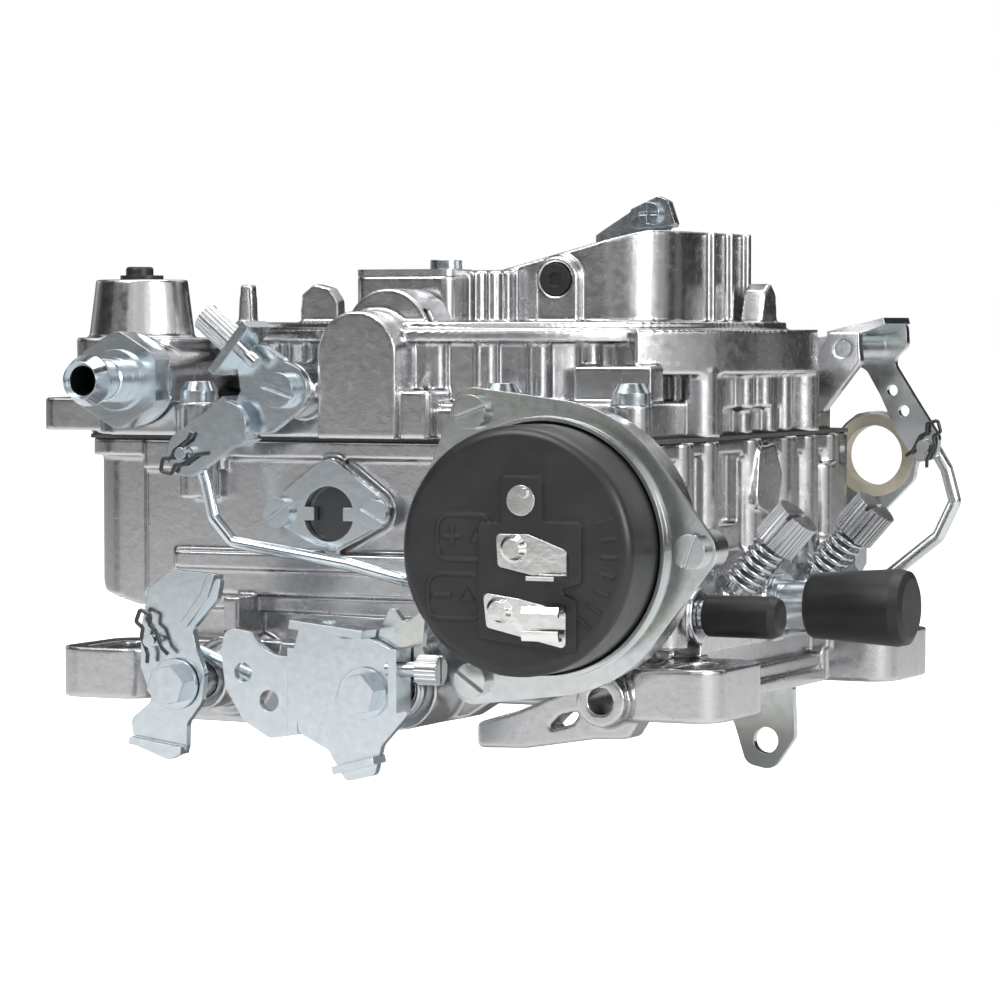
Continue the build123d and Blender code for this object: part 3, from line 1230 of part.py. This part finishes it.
# holes, (x, z, radius); the fifth takes the transmission link
lever_holes = [(cable_x, cable_z, 8.8), (prim_x, shaft_z, 3.0), (54.0, 41.8, 2.6),
               (61.0, 37.0, 1.9), (36.3, -19.0, 3.3), (pump_rod_x, pump_rod_z, 1.7)]
with BuildPart() as throttle_lever:
    prism_xz(throttle_outline, lever_y, lever_back, 3.4)
    cyl_y(cable_x, cable_z, 11.0, lever_y, lever_back)
    cyl_y(prim_x, shaft_z, 7.0, lever_y - 1.4, lever_back)
    for x, z, r in lever_holes:
        cyl_y(x, z, r, 70, 82, CUT)
    with BuildSketch(Plane.XZ.offset(-70)):
        with Locations((36, 20.5)):
            SlotCenterToCenter(12, 7, rotation=38)
    extrude(amount=-12, mode=CUT)
save(throttle_lever, "throttle_lever")

with BuildPart() as cable_bushing:
    tube_y(cable_x, cable_z, 8.75, 7.4, lever_y - 1.2, lever_y + 3.6)
    tube_y(cable_x, cable_z, 10.2, 7.4, lever_y + 2.42, lever_y + 3.6)
    tube_y(cable_x, cable_z, 10.2, 7.4, lever_y - 1.2, lever_y - 0.02)
save(cable_bushing, "cable_bushing")

with BuildPart() as throttle_nut:
    hex_y(prim_x, shaft_z, 5.0, lever_y + 2.45, lever_y + 5.85)
    cyl_y(prim_x, shaft_z, 3.05, 76, 84, CUT)
save(throttle_nut, "throttle_nut")

# ===========================================================================
# Accelerator pump: arm, rod, clip, plunger
# ===========================================================================
arm_rod_x, arm_rod_z = 81.2, 55.6        # rod hole in the pump arm
inner_fork = [(48.8, 81.3), (69.0, 83.4), (70.6, 79.0), (68.0, 75.8), (60, 77.2),
              (48.8, 78.6)]
outer_plate = [(61.6, 83.4), (76.0, 86.8), (76.4, 80.0), (72.6, 76.4), (78.0, 68.0),
               (84.6, 58.0), (84.0, 52.6), (79.0, 51.6), (74.0, 58.6), (69.5, 68.0),
               (66.0, 74.0), (61.0, 76.5)]
with BuildPart() as pump_arm:
    # inner fork over the plunger stem
    prism_xz(inner_fork, 54.8, 56.6, 0.6)
    cyl_y(arm_x, arm_z, 3.9, 50.2, 66.8)
    # folded web over the top
    prism_xz([(62.0, 82.0), (72.0, 83.6), (76.4, 85.4), (76.0, 86.9), (61.6, 83.6)],
             50.2, 68.8)
    # outer plate running down to the rod
    with BuildSketch(Plane.XZ.offset(-66.6)) as plate:
        with BuildLine():
            Polyline(*outer_plate, close=True)
        make_face()
        fillet(plate.vertices().filter_by(lambda v: v.Z < 80), 2.4)
    extrude(amount=-2.2)
    cyl_y(arm_x, arm_z, 2.04, 45, 75, CUT)
    cyl_y(arm_rod_x, arm_rod_z, 1.75, 60, 75, CUT)
    cyl_y(72.6, 69.2, 1.4, 60, 75, CUT)
    cyl_y(75.6, 64.2, 1.4, 60, 75, CUT)
save(pump_arm, "pump_arm")

with BuildPart() as pump_rod:
    rod_path([(pump_rod_x, 75.8, pump_rod_z), (pump_rod_x, 72.6, pump_rod_z),
              (46.0, 72.6, 5.5), (70.5, 72.6, 24.0), (82.6, 72.6, 33.4),
              (86.8, 72.6, 42.0), (84.6, 72.6, 50.0), (arm_rod_x, 72.6, arm_rod_z),
              (arm_rod_x, 64.2, arm_rod_z)], 2.1, 1.6)
save(pump_rod, "pump_rod")

with BuildPart() as pump_rod_clip:
    hairpin(arm_rod_x, 65.6, arm_rod_z, angle=62, pin_r=1.62)
save(pump_rod_clip, "pump_rod_clip")

with BuildPart() as pump_plunger:
    cyl_z(pump_x, pump_y, 1.6, 50, 82.4)
    cyl_y(pump_x, 79.6, 1.0, 52.0, 54.4)
    # cup, (radius, z)
    turned_z(pump_x, pump_y, [
        (0, 55.5), (5.2, 55.5), (5.2, 50.4), (pump_r - 0.3, 49.6), (pump_r, 46.2),
        (pump_r - 1.4, 46.2), (4.0, 48.4), (0, 48.4)])
save(pump_plunger, "pump_plunger")

# ===========================================================================
# Idle mixture screws and their springs
# ===========================================================================
for name, y in (("near", -mixture_y), ("far", mixture_y)):
    with BuildPart() as mixture_screw:
        knurled(mixture_plane(y, -4.2), 5.0, 0.32, 30, 8.6)
        head_slot(mixture_plane(y, 3.2), 1.1, 12)
        disc(mixture_plane(y, -32), 0, 0, 2.0, 29)
        # tapered tip
        with BuildSketch(mixture_plane(y, -34.5)):
            Circle(0.6)
        with BuildSketch(mixture_plane(y, -32)):
            Circle(2.0)
        loft()
    save(mixture_screw, "mixture_screw_" + name)

with BuildPart() as mixture_springs:
    for y in (-mixture_y, mixture_y):
        coil(mixture_plane(y, -17.2), radius=3.5, wire_r=0.62, pitch=1.95, turns=6.0)
save(mixture_springs, "mixture_springs")

# ===========================================================================
# Vacuum ports on the front and their rubber caps; profiles are (x, radius)
# ===========================================================================
vent_tube_profile = [
    (54, 0), (54, 5.95), (68.6, 5.95), (68.6, 7.2), (70.2, 7.2), (70.2, 5.6),
    (80.0, 5.6), (81.0, 6.3), (84.0, 5.2), (96.0, 5.2), (96.0, 0)]
vent_cap_profile = [
    (76.6, 5.7), (76.6, 7.0), (77.4, 7.6), (84.0, 8.0), (97.6, 8.9), (99.8, 8.4),
    (100.6, 6.8), (100.6, 0), (96.3, 0), (96.3, 5.3), (84.1, 5.3), (81.1, 6.5),
    (79.9, 5.7)]
with BuildPart() as vacuum_tubes:
    # large crankcase-vent tube
    turned_x(0, vent_tube_z, vent_tube_profile)
    cyl_x(0, vent_tube_z, 4.0, 50, 98, CUT)
    for (y, z), x0, x1 in ((near_port, 67.55, 82.4), (far_port, 68.0, 84.0)):
        cyl_x(y, z, 2.45, 48, x1)
        cyl_x(y, z, 3.4, x0 + 0.05, x0 + 1.2)
        cyl_x(y, z, 1.5, 40, x1 + 1, CUT)
save(vacuum_tubes, "vacuum_tubes")

with BuildPart() as vacuum_caps:
    turned_x(0, vent_tube_z, vent_cap_profile)
    for (y, z), x0, x1 in ((near_port, 68.8, 86.3), (far_port, 70.0, 88.4)):
        turned_x(y, z, [
            (x0, 2.5), (x0, 4.2), (x0 + 0.5, 4.6), (x1 - 2.0, 4.7), (x1 - 0.5, 4.0),
            (x1, 2.6), (x1, 0), (x1 - 2.6, 0), (x1 - 2.6, 2.5)])
save(vacuum_caps, "vacuum_caps")

# ===========================================================================
# Pivot screws of the link lever and the pump arm, and the stop screw
# ===========================================================================
with BuildPart() as pivot_screws:
    cyl_y(link_x, link_z, 1.55, -66.5, -76.0)
    cyl_y(link_x, link_z, 1.9, -76.0, -78.4)
    cyl_y(link_x, link_z, 4.0, -78.15, -81.0)
    prism_xz([(link_x - 4.6, link_z + 0.9), (link_x + 4.2, link_z - 1.9),
              (link_x + 4.6, link_z - 0.9), (link_x - 4.2, link_z + 1.9)],
             -79.6, -83, mode=CUT)
    cyl_y(arm_x, arm_z, 2.0, 46.8, 69.0)
    cyl_y(arm_x, arm_z, 3.4, 68.9, 70.6)
    block(arm_x - 4, arm_x + 4, 69.8, 72, arm_z - 0.4, arm_z + 0.4, mode=CUT)
    # hex-head stop screw in the front wall, lever side
    cyl_x(*stop_screw, 1.95, 51, 69.4)
    cyl_x(*stop_screw, 4.4, 69.1, 70.3)
    with BuildSketch(Plane.YZ.offset(70.3)):
        with Locations(stop_screw):
            RegularPolygon(radius=4.0, side_count=6, major_radius=False, rotation=30)
    extrude(amount=4.6)
save(pivot_screws, "pivot_screws")
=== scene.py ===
# A carburetor as CAD pieces close to the origin, in metres, +Z up. Its three castings get
# rounded edges. The camera looks from -Y and a little from +X; the floor is below the origin.
import bpy
import bmesh
import json
import random
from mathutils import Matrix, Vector


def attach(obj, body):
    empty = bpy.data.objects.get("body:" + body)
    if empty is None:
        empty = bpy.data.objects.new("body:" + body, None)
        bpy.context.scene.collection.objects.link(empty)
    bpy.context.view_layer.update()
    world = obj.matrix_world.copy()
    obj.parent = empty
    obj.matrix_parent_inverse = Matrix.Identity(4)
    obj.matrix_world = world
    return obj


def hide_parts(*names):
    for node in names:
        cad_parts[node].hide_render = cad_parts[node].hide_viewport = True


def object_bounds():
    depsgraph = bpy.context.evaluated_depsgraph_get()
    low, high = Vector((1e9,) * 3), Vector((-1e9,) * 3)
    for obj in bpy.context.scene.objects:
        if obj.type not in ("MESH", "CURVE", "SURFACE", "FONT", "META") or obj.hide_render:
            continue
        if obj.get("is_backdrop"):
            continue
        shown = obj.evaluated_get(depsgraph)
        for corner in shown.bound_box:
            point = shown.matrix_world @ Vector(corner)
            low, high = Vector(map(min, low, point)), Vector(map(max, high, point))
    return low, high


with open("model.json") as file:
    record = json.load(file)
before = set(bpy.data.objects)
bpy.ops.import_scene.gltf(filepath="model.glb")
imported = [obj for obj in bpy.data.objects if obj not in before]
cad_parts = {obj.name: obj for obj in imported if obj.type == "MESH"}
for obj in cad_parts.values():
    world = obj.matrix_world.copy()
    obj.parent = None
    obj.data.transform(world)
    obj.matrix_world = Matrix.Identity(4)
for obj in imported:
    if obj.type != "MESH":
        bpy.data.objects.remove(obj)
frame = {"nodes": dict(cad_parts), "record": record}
loaded_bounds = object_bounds()
random.seed(7)

MM = 0.001
PIECES = frame["nodes"]
SLOTS = {part["node"]: part["material_slot"] for part in frame["record"]["subparts"]}
ROOT = "carburetor"
scene = bpy.context.scene


# ---------------------------------------------------------------- shader building
class Graph:
    """Short calls for building a node tree. An input takes a socket, a number or an RGB tuple."""

    def __init__(self, tree):
        self.tree = tree
        tree.nodes.clear()

    def feed(self, node, inputs):
        for key, value in inputs.items():
            socket = node.inputs[key]
            if isinstance(value, bpy.types.NodeSocket):
                self.tree.links.new(value, socket)
            else:
                socket.default_value = (*value, 1) if isinstance(value, tuple) else value

    def add(self, kind, inputs=None, **settings):
        node = self.tree.nodes.new("ShaderNode" + kind)
        for setting, value in settings.items():
            setattr(node, setting, value)
        self.feed(node, inputs or {})
        return node

    def noise(self, position, scale, detail, rough):
        inputs = {"Scale": scale, "Detail": detail, "Roughness": rough, "Vector": position}
        return self.add("TexNoise", inputs).outputs["Fac"]

    def remap(self, source, old, new):
        """Carry the range old = (min, max) linearly to new, clamped."""
        inputs = {"From Min": old[0], "From Max": old[1], "To Min": new[0], "To Max": new[1]}
        return self.add("MapRange", {**inputs, "Value": source}).outputs[0]

    def ramp(self, source, stops):
        """Colour ramp; stops are (position, RGB)."""
        node = self.add("ValToRGB", {0: source})
        elements = node.color_ramp.elements
        while len(elements) < len(stops):
            elements.new(0.5)
        for element, (position, colour) in zip(elements, stops):
            element.position = position
            element.color = (*colour, 1)
        return node.outputs[0]

    def mix(self, factor, first, second, blend="MIX"):
        # Inputs 6 and 7, and output 2, are the colour sockets.
        inputs = {"Factor": factor, 6: first, 7: second}
        return self.add("Mix", inputs, data_type="RGBA", blend_type=blend).outputs[2]

    def bump(self, height, strength, distance, normal=None):
        inputs = {"Strength": strength, "Distance": distance, "Height": height}
        if normal is not None:
            inputs["Normal"] = normal
        return self.add("Bump", inputs).outputs[0]

    def bevel(self, radius):
        return self.add("Bevel", {"Radius": radius}, samples=3).outputs[0]


def new_material(name):
    """A material with its output fed by a Principled shader."""
    material = bpy.data.materials.new(name)
    material.use_nodes = True
    graph = Graph(material.node_tree)
    output = graph.add("OutputMaterial")
    shader = graph.add("BsdfPrincipled")
    graph.feed(output, {0: shader.outputs[0]})
    return material, graph, shader


# ---------------------------------------------------------------- materials
NOISE_BAND = (0.3, 0.7)    # the part of the noise range stretched to full contrast

# Film colours by view angle, face-on first.
IRIDESCENCE = [
    (0.0, (0.86, 0.84, 0.80)),
    (0.28, (0.96, 0.92, 0.72)),
    (0.5, (0.95, 0.82, 0.86)),
    (0.72, (0.78, 0.92, 0.86)),
    (1.0, (0.84, 0.86, 1.0)),
]


def iridescent(graph, position, base):
    """Tint the base by view angle, shifted unevenly over the surface."""
    facing = graph.add("LayerWeight", {"Blend": 0.35}).outputs["Facing"]
    patches = graph.noise(position, scale=90, detail=2, rough=0.5)
    shift = graph.remap(patches, NOISE_BAND, (-0.25, 0.25))
    angle = graph.add("Math", {0: facing, 1: shift}, operation="ADD").outputs[0]
    return graph.mix(0.55, base, graph.ramp(angle, IRIDESCENCE), "MULTIPLY")


def paint_hollow_shade_and_edge_highlight(graph, base):
    """Paint shade into the hollows and a highlight onto the raised edges of a casting, standing
    in for occlusion and edge glints.
    """
    pointiness = graph.add("NewGeometry").outputs["Pointiness"]
    # Painted shade: concave spots (low pointiness) are darkened towards near black, in place of
    # occlusion.
    painted_hollow_shade = graph.remap(pointiness, (0.40, 0.495), (0.8, 0))
    base = graph.mix(painted_hollow_shade, base, (0.05, 0.05, 0.053))
    # Painted highlight: convex edges (high pointiness) are lightened towards near white.
    painted_edge_highlight = graph.remap(pointiness, (0.51, 0.58), (0, 0.55))
    return graph.mix(painted_edge_highlight, base, (0.93, 0.93, 0.94))


def metal(name, colour, rough, grain, grain_scale, mottle, edge=0.0, rough_spread=0.05,
          ripple=0.0, film=False, cast=False):
    """Bare or plated metal with mottled colour, uneven gloss and a fine grain.

    edge is the shaded edge radius, not used on a casting; ripple is broad unevenness."""
    material, graph, shader = new_material(name)
    position = graph.add("NewGeometry").outputs["Position"]
    broad = graph.noise(position, scale=55, detail=4, rough=0.6)
    fine = graph.noise(position, scale=grain_scale, detail=3, rough=0.6)
    medium = graph.noise(position, scale=grain_scale / 6, detail=3, rough=0.5)

    dark = tuple(c * (1 - mottle) for c in colour)
    base = graph.mix(graph.remap(broad, NOISE_BAND, (0, 1)), dark, colour)
    if film:
        base = iridescent(graph, position, base)
    # Castings get painted shade in their hollows and painted highlights on their raised edges.
    if cast:
        base = paint_hollow_shade_and_edge_highlight(graph, base)
    gloss = (max(rough - rough_spread, 0.03), rough + rough_spread)

    normal = None if cast else graph.bevel(edge)
    if ripple:
        waves = graph.noise(position, scale=260, detail=3, rough=0.55)
        normal = graph.bump(waves, strength=ripple, distance=0.5 * MM, normal=normal)
    normal = graph.bump(fine, strength=grain, distance=0.08 * MM, normal=normal)
    normal = graph.bump(medium, strength=grain * 0.7, distance=0.2 * MM, normal=normal)
    graph.feed(shader, {
        "Base Color": base,
        "Metallic": 1.0,
        "Roughness": graph.remap(medium, (0.25, 0.75), gloss),
        "Normal": normal,
    })
    return material


def dielectric(name, colour, rough, grain, grain_scale, edge, specular=0.5, dust=0.0, coat=0.0):
    """Non-metal or coated surface: slight mottling, fine grain and softened edges."""
    material, graph, shader = new_material(name)
    position = graph.add("NewGeometry").outputs["Position"]
    broad = graph.noise(position, scale=120, detail=4, rough=0.6)
    fine = graph.noise(position, scale=grain_scale, detail=2, rough=0.5)

    dark = tuple(c * 0.8 for c in colour)
    light = tuple(c * 1.15 for c in colour)
    base = graph.mix(graph.remap(broad, NOISE_BAND, (0, 1)), dark, light)
    if dust:
        base = graph.mix(graph.remap(fine, (0.55, 0.8), (0, dust)), base, (0.35, 0.35, 0.34))
    graph.feed(shader, {
        "Base Color": base,
        "Roughness": graph.remap(broad, NOISE_BAND, (rough - 0.05, rough + 0.07)),
        "Specular IOR Level": specular,
        "Coat Weight": coat,
        "Coat Roughness": 0.25,
        "Normal": graph.bump(fine, strength=grain, distance=0.06 * MM, normal=graph.bevel(edge)),
    })
    return material


METALS = {
    "cast_aluminium": dict(colour=(0.62, 0.62, 0.63), rough=0.24, grain=0.16, grain_scale=3400,
                           mottle=0.07, ripple=0.05, cast=True),
    "zinc_steel": dict(colour=(0.69, 0.75, 0.79), rough=0.20, grain=0.08, grain_scale=3600,
                       mottle=0.05, edge=0.28 * MM, ripple=0.03),
    "yellow_zinc_steel": dict(colour=(0.76, 0.80, 0.83), rough=0.19, grain=0.08,
                              grain_scale=3400, mottle=0.05, edge=0.25 * MM, ripple=0.03,
                              film=True),
    "shaft_steel": dict(colour=(0.56, 0.57, 0.58), rough=0.2, grain=0.15, grain_scale=3400,
                        mottle=0.10, edge=0.2 * MM),
    "brass": dict(colour=(0.70, 0.52, 0.24), rough=0.24, grain=0.2, grain_scale=3000,
                  mottle=0.12, edge=0.2 * MM, rough_spread=0.07),
    "tinned_brass": dict(colour=(0.88, 0.88, 0.86), rough=0.13, grain=0.06, grain_scale=2600,
                         mottle=0.05, edge=0.25 * MM, rough_spread=0.04, ripple=0.08),
    "spring_steel": dict(colour=(0.58, 0.60, 0.62), rough=0.2, grain=0.1, grain_scale=3600,
                         mottle=0.08, edge=0.1 * MM),
}
DIELECTRICS = {
    "gasket": dict(colour=(0.07, 0.07, 0.068), rough=0.8, grain=0.7, grain_scale=1800,
                   edge=0.1 * MM, specular=0.3, dust=0.2),
    "black_plastic": dict(colour=(0.022, 0.022, 0.024), rough=0.34, grain=0.22,
                          grain_scale=2200, edge=0.6 * MM),
    "black_rubber": dict(colour=(0.012, 0.012, 0.013), rough=0.42, grain=0.2,
                         grain_scale=1500, edge=0.4 * MM),
    "black_steel": dict(colour=(0.012, 0.012, 0.014), rough=0.25, grain=0.1,
                        grain_scale=2500, edge=0.1 * MM, specular=0.6, coat=0.4),
    "liner_plastic": dict(colour=(0.52, 0.48, 0.38), rough=0.4, grain=0.15,
                          grain_scale=1800, edge=0.2 * MM),
    "sight_glass": dict(colour=(0.020, 0.024, 0.030), rough=0.06, grain=0.02,
                        grain_scale=900, edge=0.2 * MM, specular=0.9, coat=0.8),
}
MATERIALS = {name: metal(name, **look) for name, look in METALS.items()}
MATERIALS.update({name: dielectric(name, **look) for name, look in DIELECTRICS.items()})

for name, piece in PIECES.items():
    piece.data.materials.clear()
    piece.data.materials.append(MATERIALS[SLOTS[name]])


# ---------------------------------------------------------------- castings
WELD = 2e-6
# piece: (voxel size, smoothing passes)
CASTINGS = {
    "main_body": (0.42 * MM, 3),
    "air_horn": (0.42 * MM, 3),
    "choke_housing": (0.35 * MM, 2),
}


def add_object(name, data):
    thing = bpy.data.objects.new(name, data)
    scene.collection.objects.link(thing)
    return thing


def round_casting(name, voxel, passes):
    """Replace a piece with a remeshed copy whose edges and corners are rounded."""
    mesh = PIECES[name].data.copy()
    casting = add_object(name + "_casting", mesh)
    welded = bmesh.new()
    welded.from_mesh(mesh)
    bmesh.ops.remove_doubles(welded, verts=welded.verts, dist=WELD)
    welded.to_mesh(mesh)
    welded.free()

    remesh = casting.modifiers.new("remesh", "REMESH")
    remesh.mode = "VOXEL"
    remesh.voxel_size = voxel
    remesh.use_smooth_shade = True
    smooth = casting.modifiers.new("smooth", "SMOOTH")
    smooth.factor = 0.5
    smooth.iterations = passes
    evaluated = casting.evaluated_get(bpy.context.evaluated_depsgraph_get())
    rounded = bpy.data.meshes.new_from_object(evaluated)
    casting.modifiers.clear()
    casting.data = rounded
    rounded.materials.clear()
    rounded.materials.append(MATERIALS[SLOTS[name]])
    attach(casting, ROOT)
    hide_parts(name)


for name, (voxel, passes) in CASTINGS.items():
    round_casting(name, voxel, passes)


# ---------------------------------------------------------------- stage
FLOOR_Z = -0.0285
FLOOR_HALF = 30
CENTRE = Vector((0.0, 0.0, 0.045))    # what the lights and cards face


def aim(thing, location, target=CENTRE):
    thing.location = location
    toward = Vector(target) - Vector(location)
    thing.rotation_euler = toward.to_track_quat("-Z", "Y").to_euler()


def rectangle(name, half_x, half_y, material):
    mesh = bpy.data.meshes.new(name)
    corners = [(-half_x, -half_y, 0), (half_x, -half_y, 0), (half_x, half_y, 0),
               (-half_x, half_y, 0)]
    mesh.from_pydata(corners, [], [(0, 1, 2, 3)])
    mesh.materials.append(material)
    return add_object(name, mesh)


def floor_material():
    """Matt grey that glows to the camera only, so it looks near white."""
    material, graph, shader = new_material("floor")
    graph.feed(shader, {"Base Color": (0.78, 0.78, 0.78), "Roughness": 0.85,
                        "Specular IOR Level": 0.1})
    matt = shader.outputs[0]
    camera_ray = graph.add("LightPath").outputs["Is Camera Ray"]
    glow = graph.add("Emission", {"Strength": 0.86}).outputs[0]
    lit = graph.add("AddShader", {0: matt, 1: glow}).outputs[0]
    seen = graph.add("MixShader", {0: camera_ray, 1: matt, 2: lit}).outputs[0]
    graph.feed(graph.tree.nodes["Material Output"], {0: seen})
    return material


floor = rectangle("floor", FLOOR_HALF, FLOOR_HALF, floor_material())
floor.location = (0, 0, FLOOR_Z)
floor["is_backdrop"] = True

# Sky brightness by height, from straight down (0) to straight up (1).
SKY_BANDS = [(0.0, 0.30), (0.47, 0.10), (0.54, 0.30), (0.62, 0.95), (0.70, 0.28), (0.82, 1.0),
             (1.0, 0.75)]


def build_world():
    """Plain white to the camera; banded, patchy grey to every other ray."""
    world = bpy.data.worlds.new("w")
    scene.world = world
    world.use_nodes = True
    graph = Graph(world.node_tree)
    output = graph.add("OutputWorld")
    camera_ray = graph.add("LightPath").outputs["Is Camera Ray"]
    direction = graph.add("TexCoord").outputs["Generated"]
    height = graph.add("SeparateXYZ", {0: direction}).outputs[2]
    sky = graph.ramp(graph.remap(height, (-1, 1), (0, 1)),
                     [(position, (grey,) * 3) for position, grey in SKY_BANDS])
    patches = graph.noise(direction, scale=1.6, detail=1, rough=0.4)
    sky = graph.mix(1.0, sky, graph.remap(patches, (0.42, 0.58), (0.05, 1.30)), "MULTIPLY")
    grey = graph.add("Background", {"Color": sky, "Strength": 1.05}).outputs[0]
    white = graph.add("Background", {"Color": (1, 1, 1), "Strength": 1.0}).outputs[0]
    seen = graph.add("MixShader", {0: camera_ray, 1: grey, 2: white}).outputs[0]
    graph.feed(output, {0: seen})


build_world()

# name, location, side, watts
LIGHTS = [
    ("key", (-0.25, -0.75, 0.75), 0.5, 5.6),
    ("fill", (0.85, -0.45, 0.35), 0.45, 4.2),
    ("top", (0.05, 0.1, 0.95), 0.7, 5.6),
]
for name, location, side, power in LIGHTS:
    light = bpy.data.lights.new(name, "AREA")
    light.shape = "RECTANGLE"
    light.size = side
    light.size_y = side
    light.energy = power
    lamp = add_object(name, light)
    aim(lamp, location)
    lamp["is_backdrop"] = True

# Near-black cards, unseen by the camera, for the deep reflections in polished metal.
CARD_GREY = 0.02
# name, location, half width, half height
CARDS = [
    ("card_left", (-0.7, -0.5, 0.1), 0.16, 0.5),
    ("card_mid", (0.35, -1.25, -0.05), 0.5, 0.09),
    ("card_right", (0.8, 0.35, 0.1), 0.16, 0.5),
    ("card_back", (0.0, 1.1, 0.25), 0.9, 0.25),
]
for name, location, half_width, half_height in CARDS:
    material, graph, shader = new_material(name)
    graph.feed(shader, {"Base Color": (CARD_GREY,) * 3, "Roughness": 1.0})
    card = rectangle(name, half_width, half_height, material)
    aim(card, location)
    card.visible_camera = False
    card.visible_shadow = False
    card.visible_diffuse = False
    card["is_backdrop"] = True

lens = bpy.data.cameras.new("cam")
lens.lens = 144.19
lens.sensor_width = 36.0
lens.clip_start = 0.05
lens.clip_end = 20
camera = add_object("cam", lens)
aim(camera, (0.39472, -0.86233, 0.08432), target=(-0.001808, -0.000832, 0.043683))
scene.camera = camera
scene.view_settings.view_transform = "Standard"
scene.view_settings.look = "None"
scene.view_settings.exposure = 0.0


def plain(value):
    """Turn bounds into what JSON can hold."""
    if isinstance(value, dict):
        return {key: plain(item) for key, item in value.items()}
    if isinstance(value, (list, tuple, Vector)):
        return [plain(item) for item in value]
    return float(value) if isinstance(value, (int, float)) else str(value)


final_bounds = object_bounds()
{"after_load": plain(loaded_bounds), "before_finish": plain(final_bounds)}
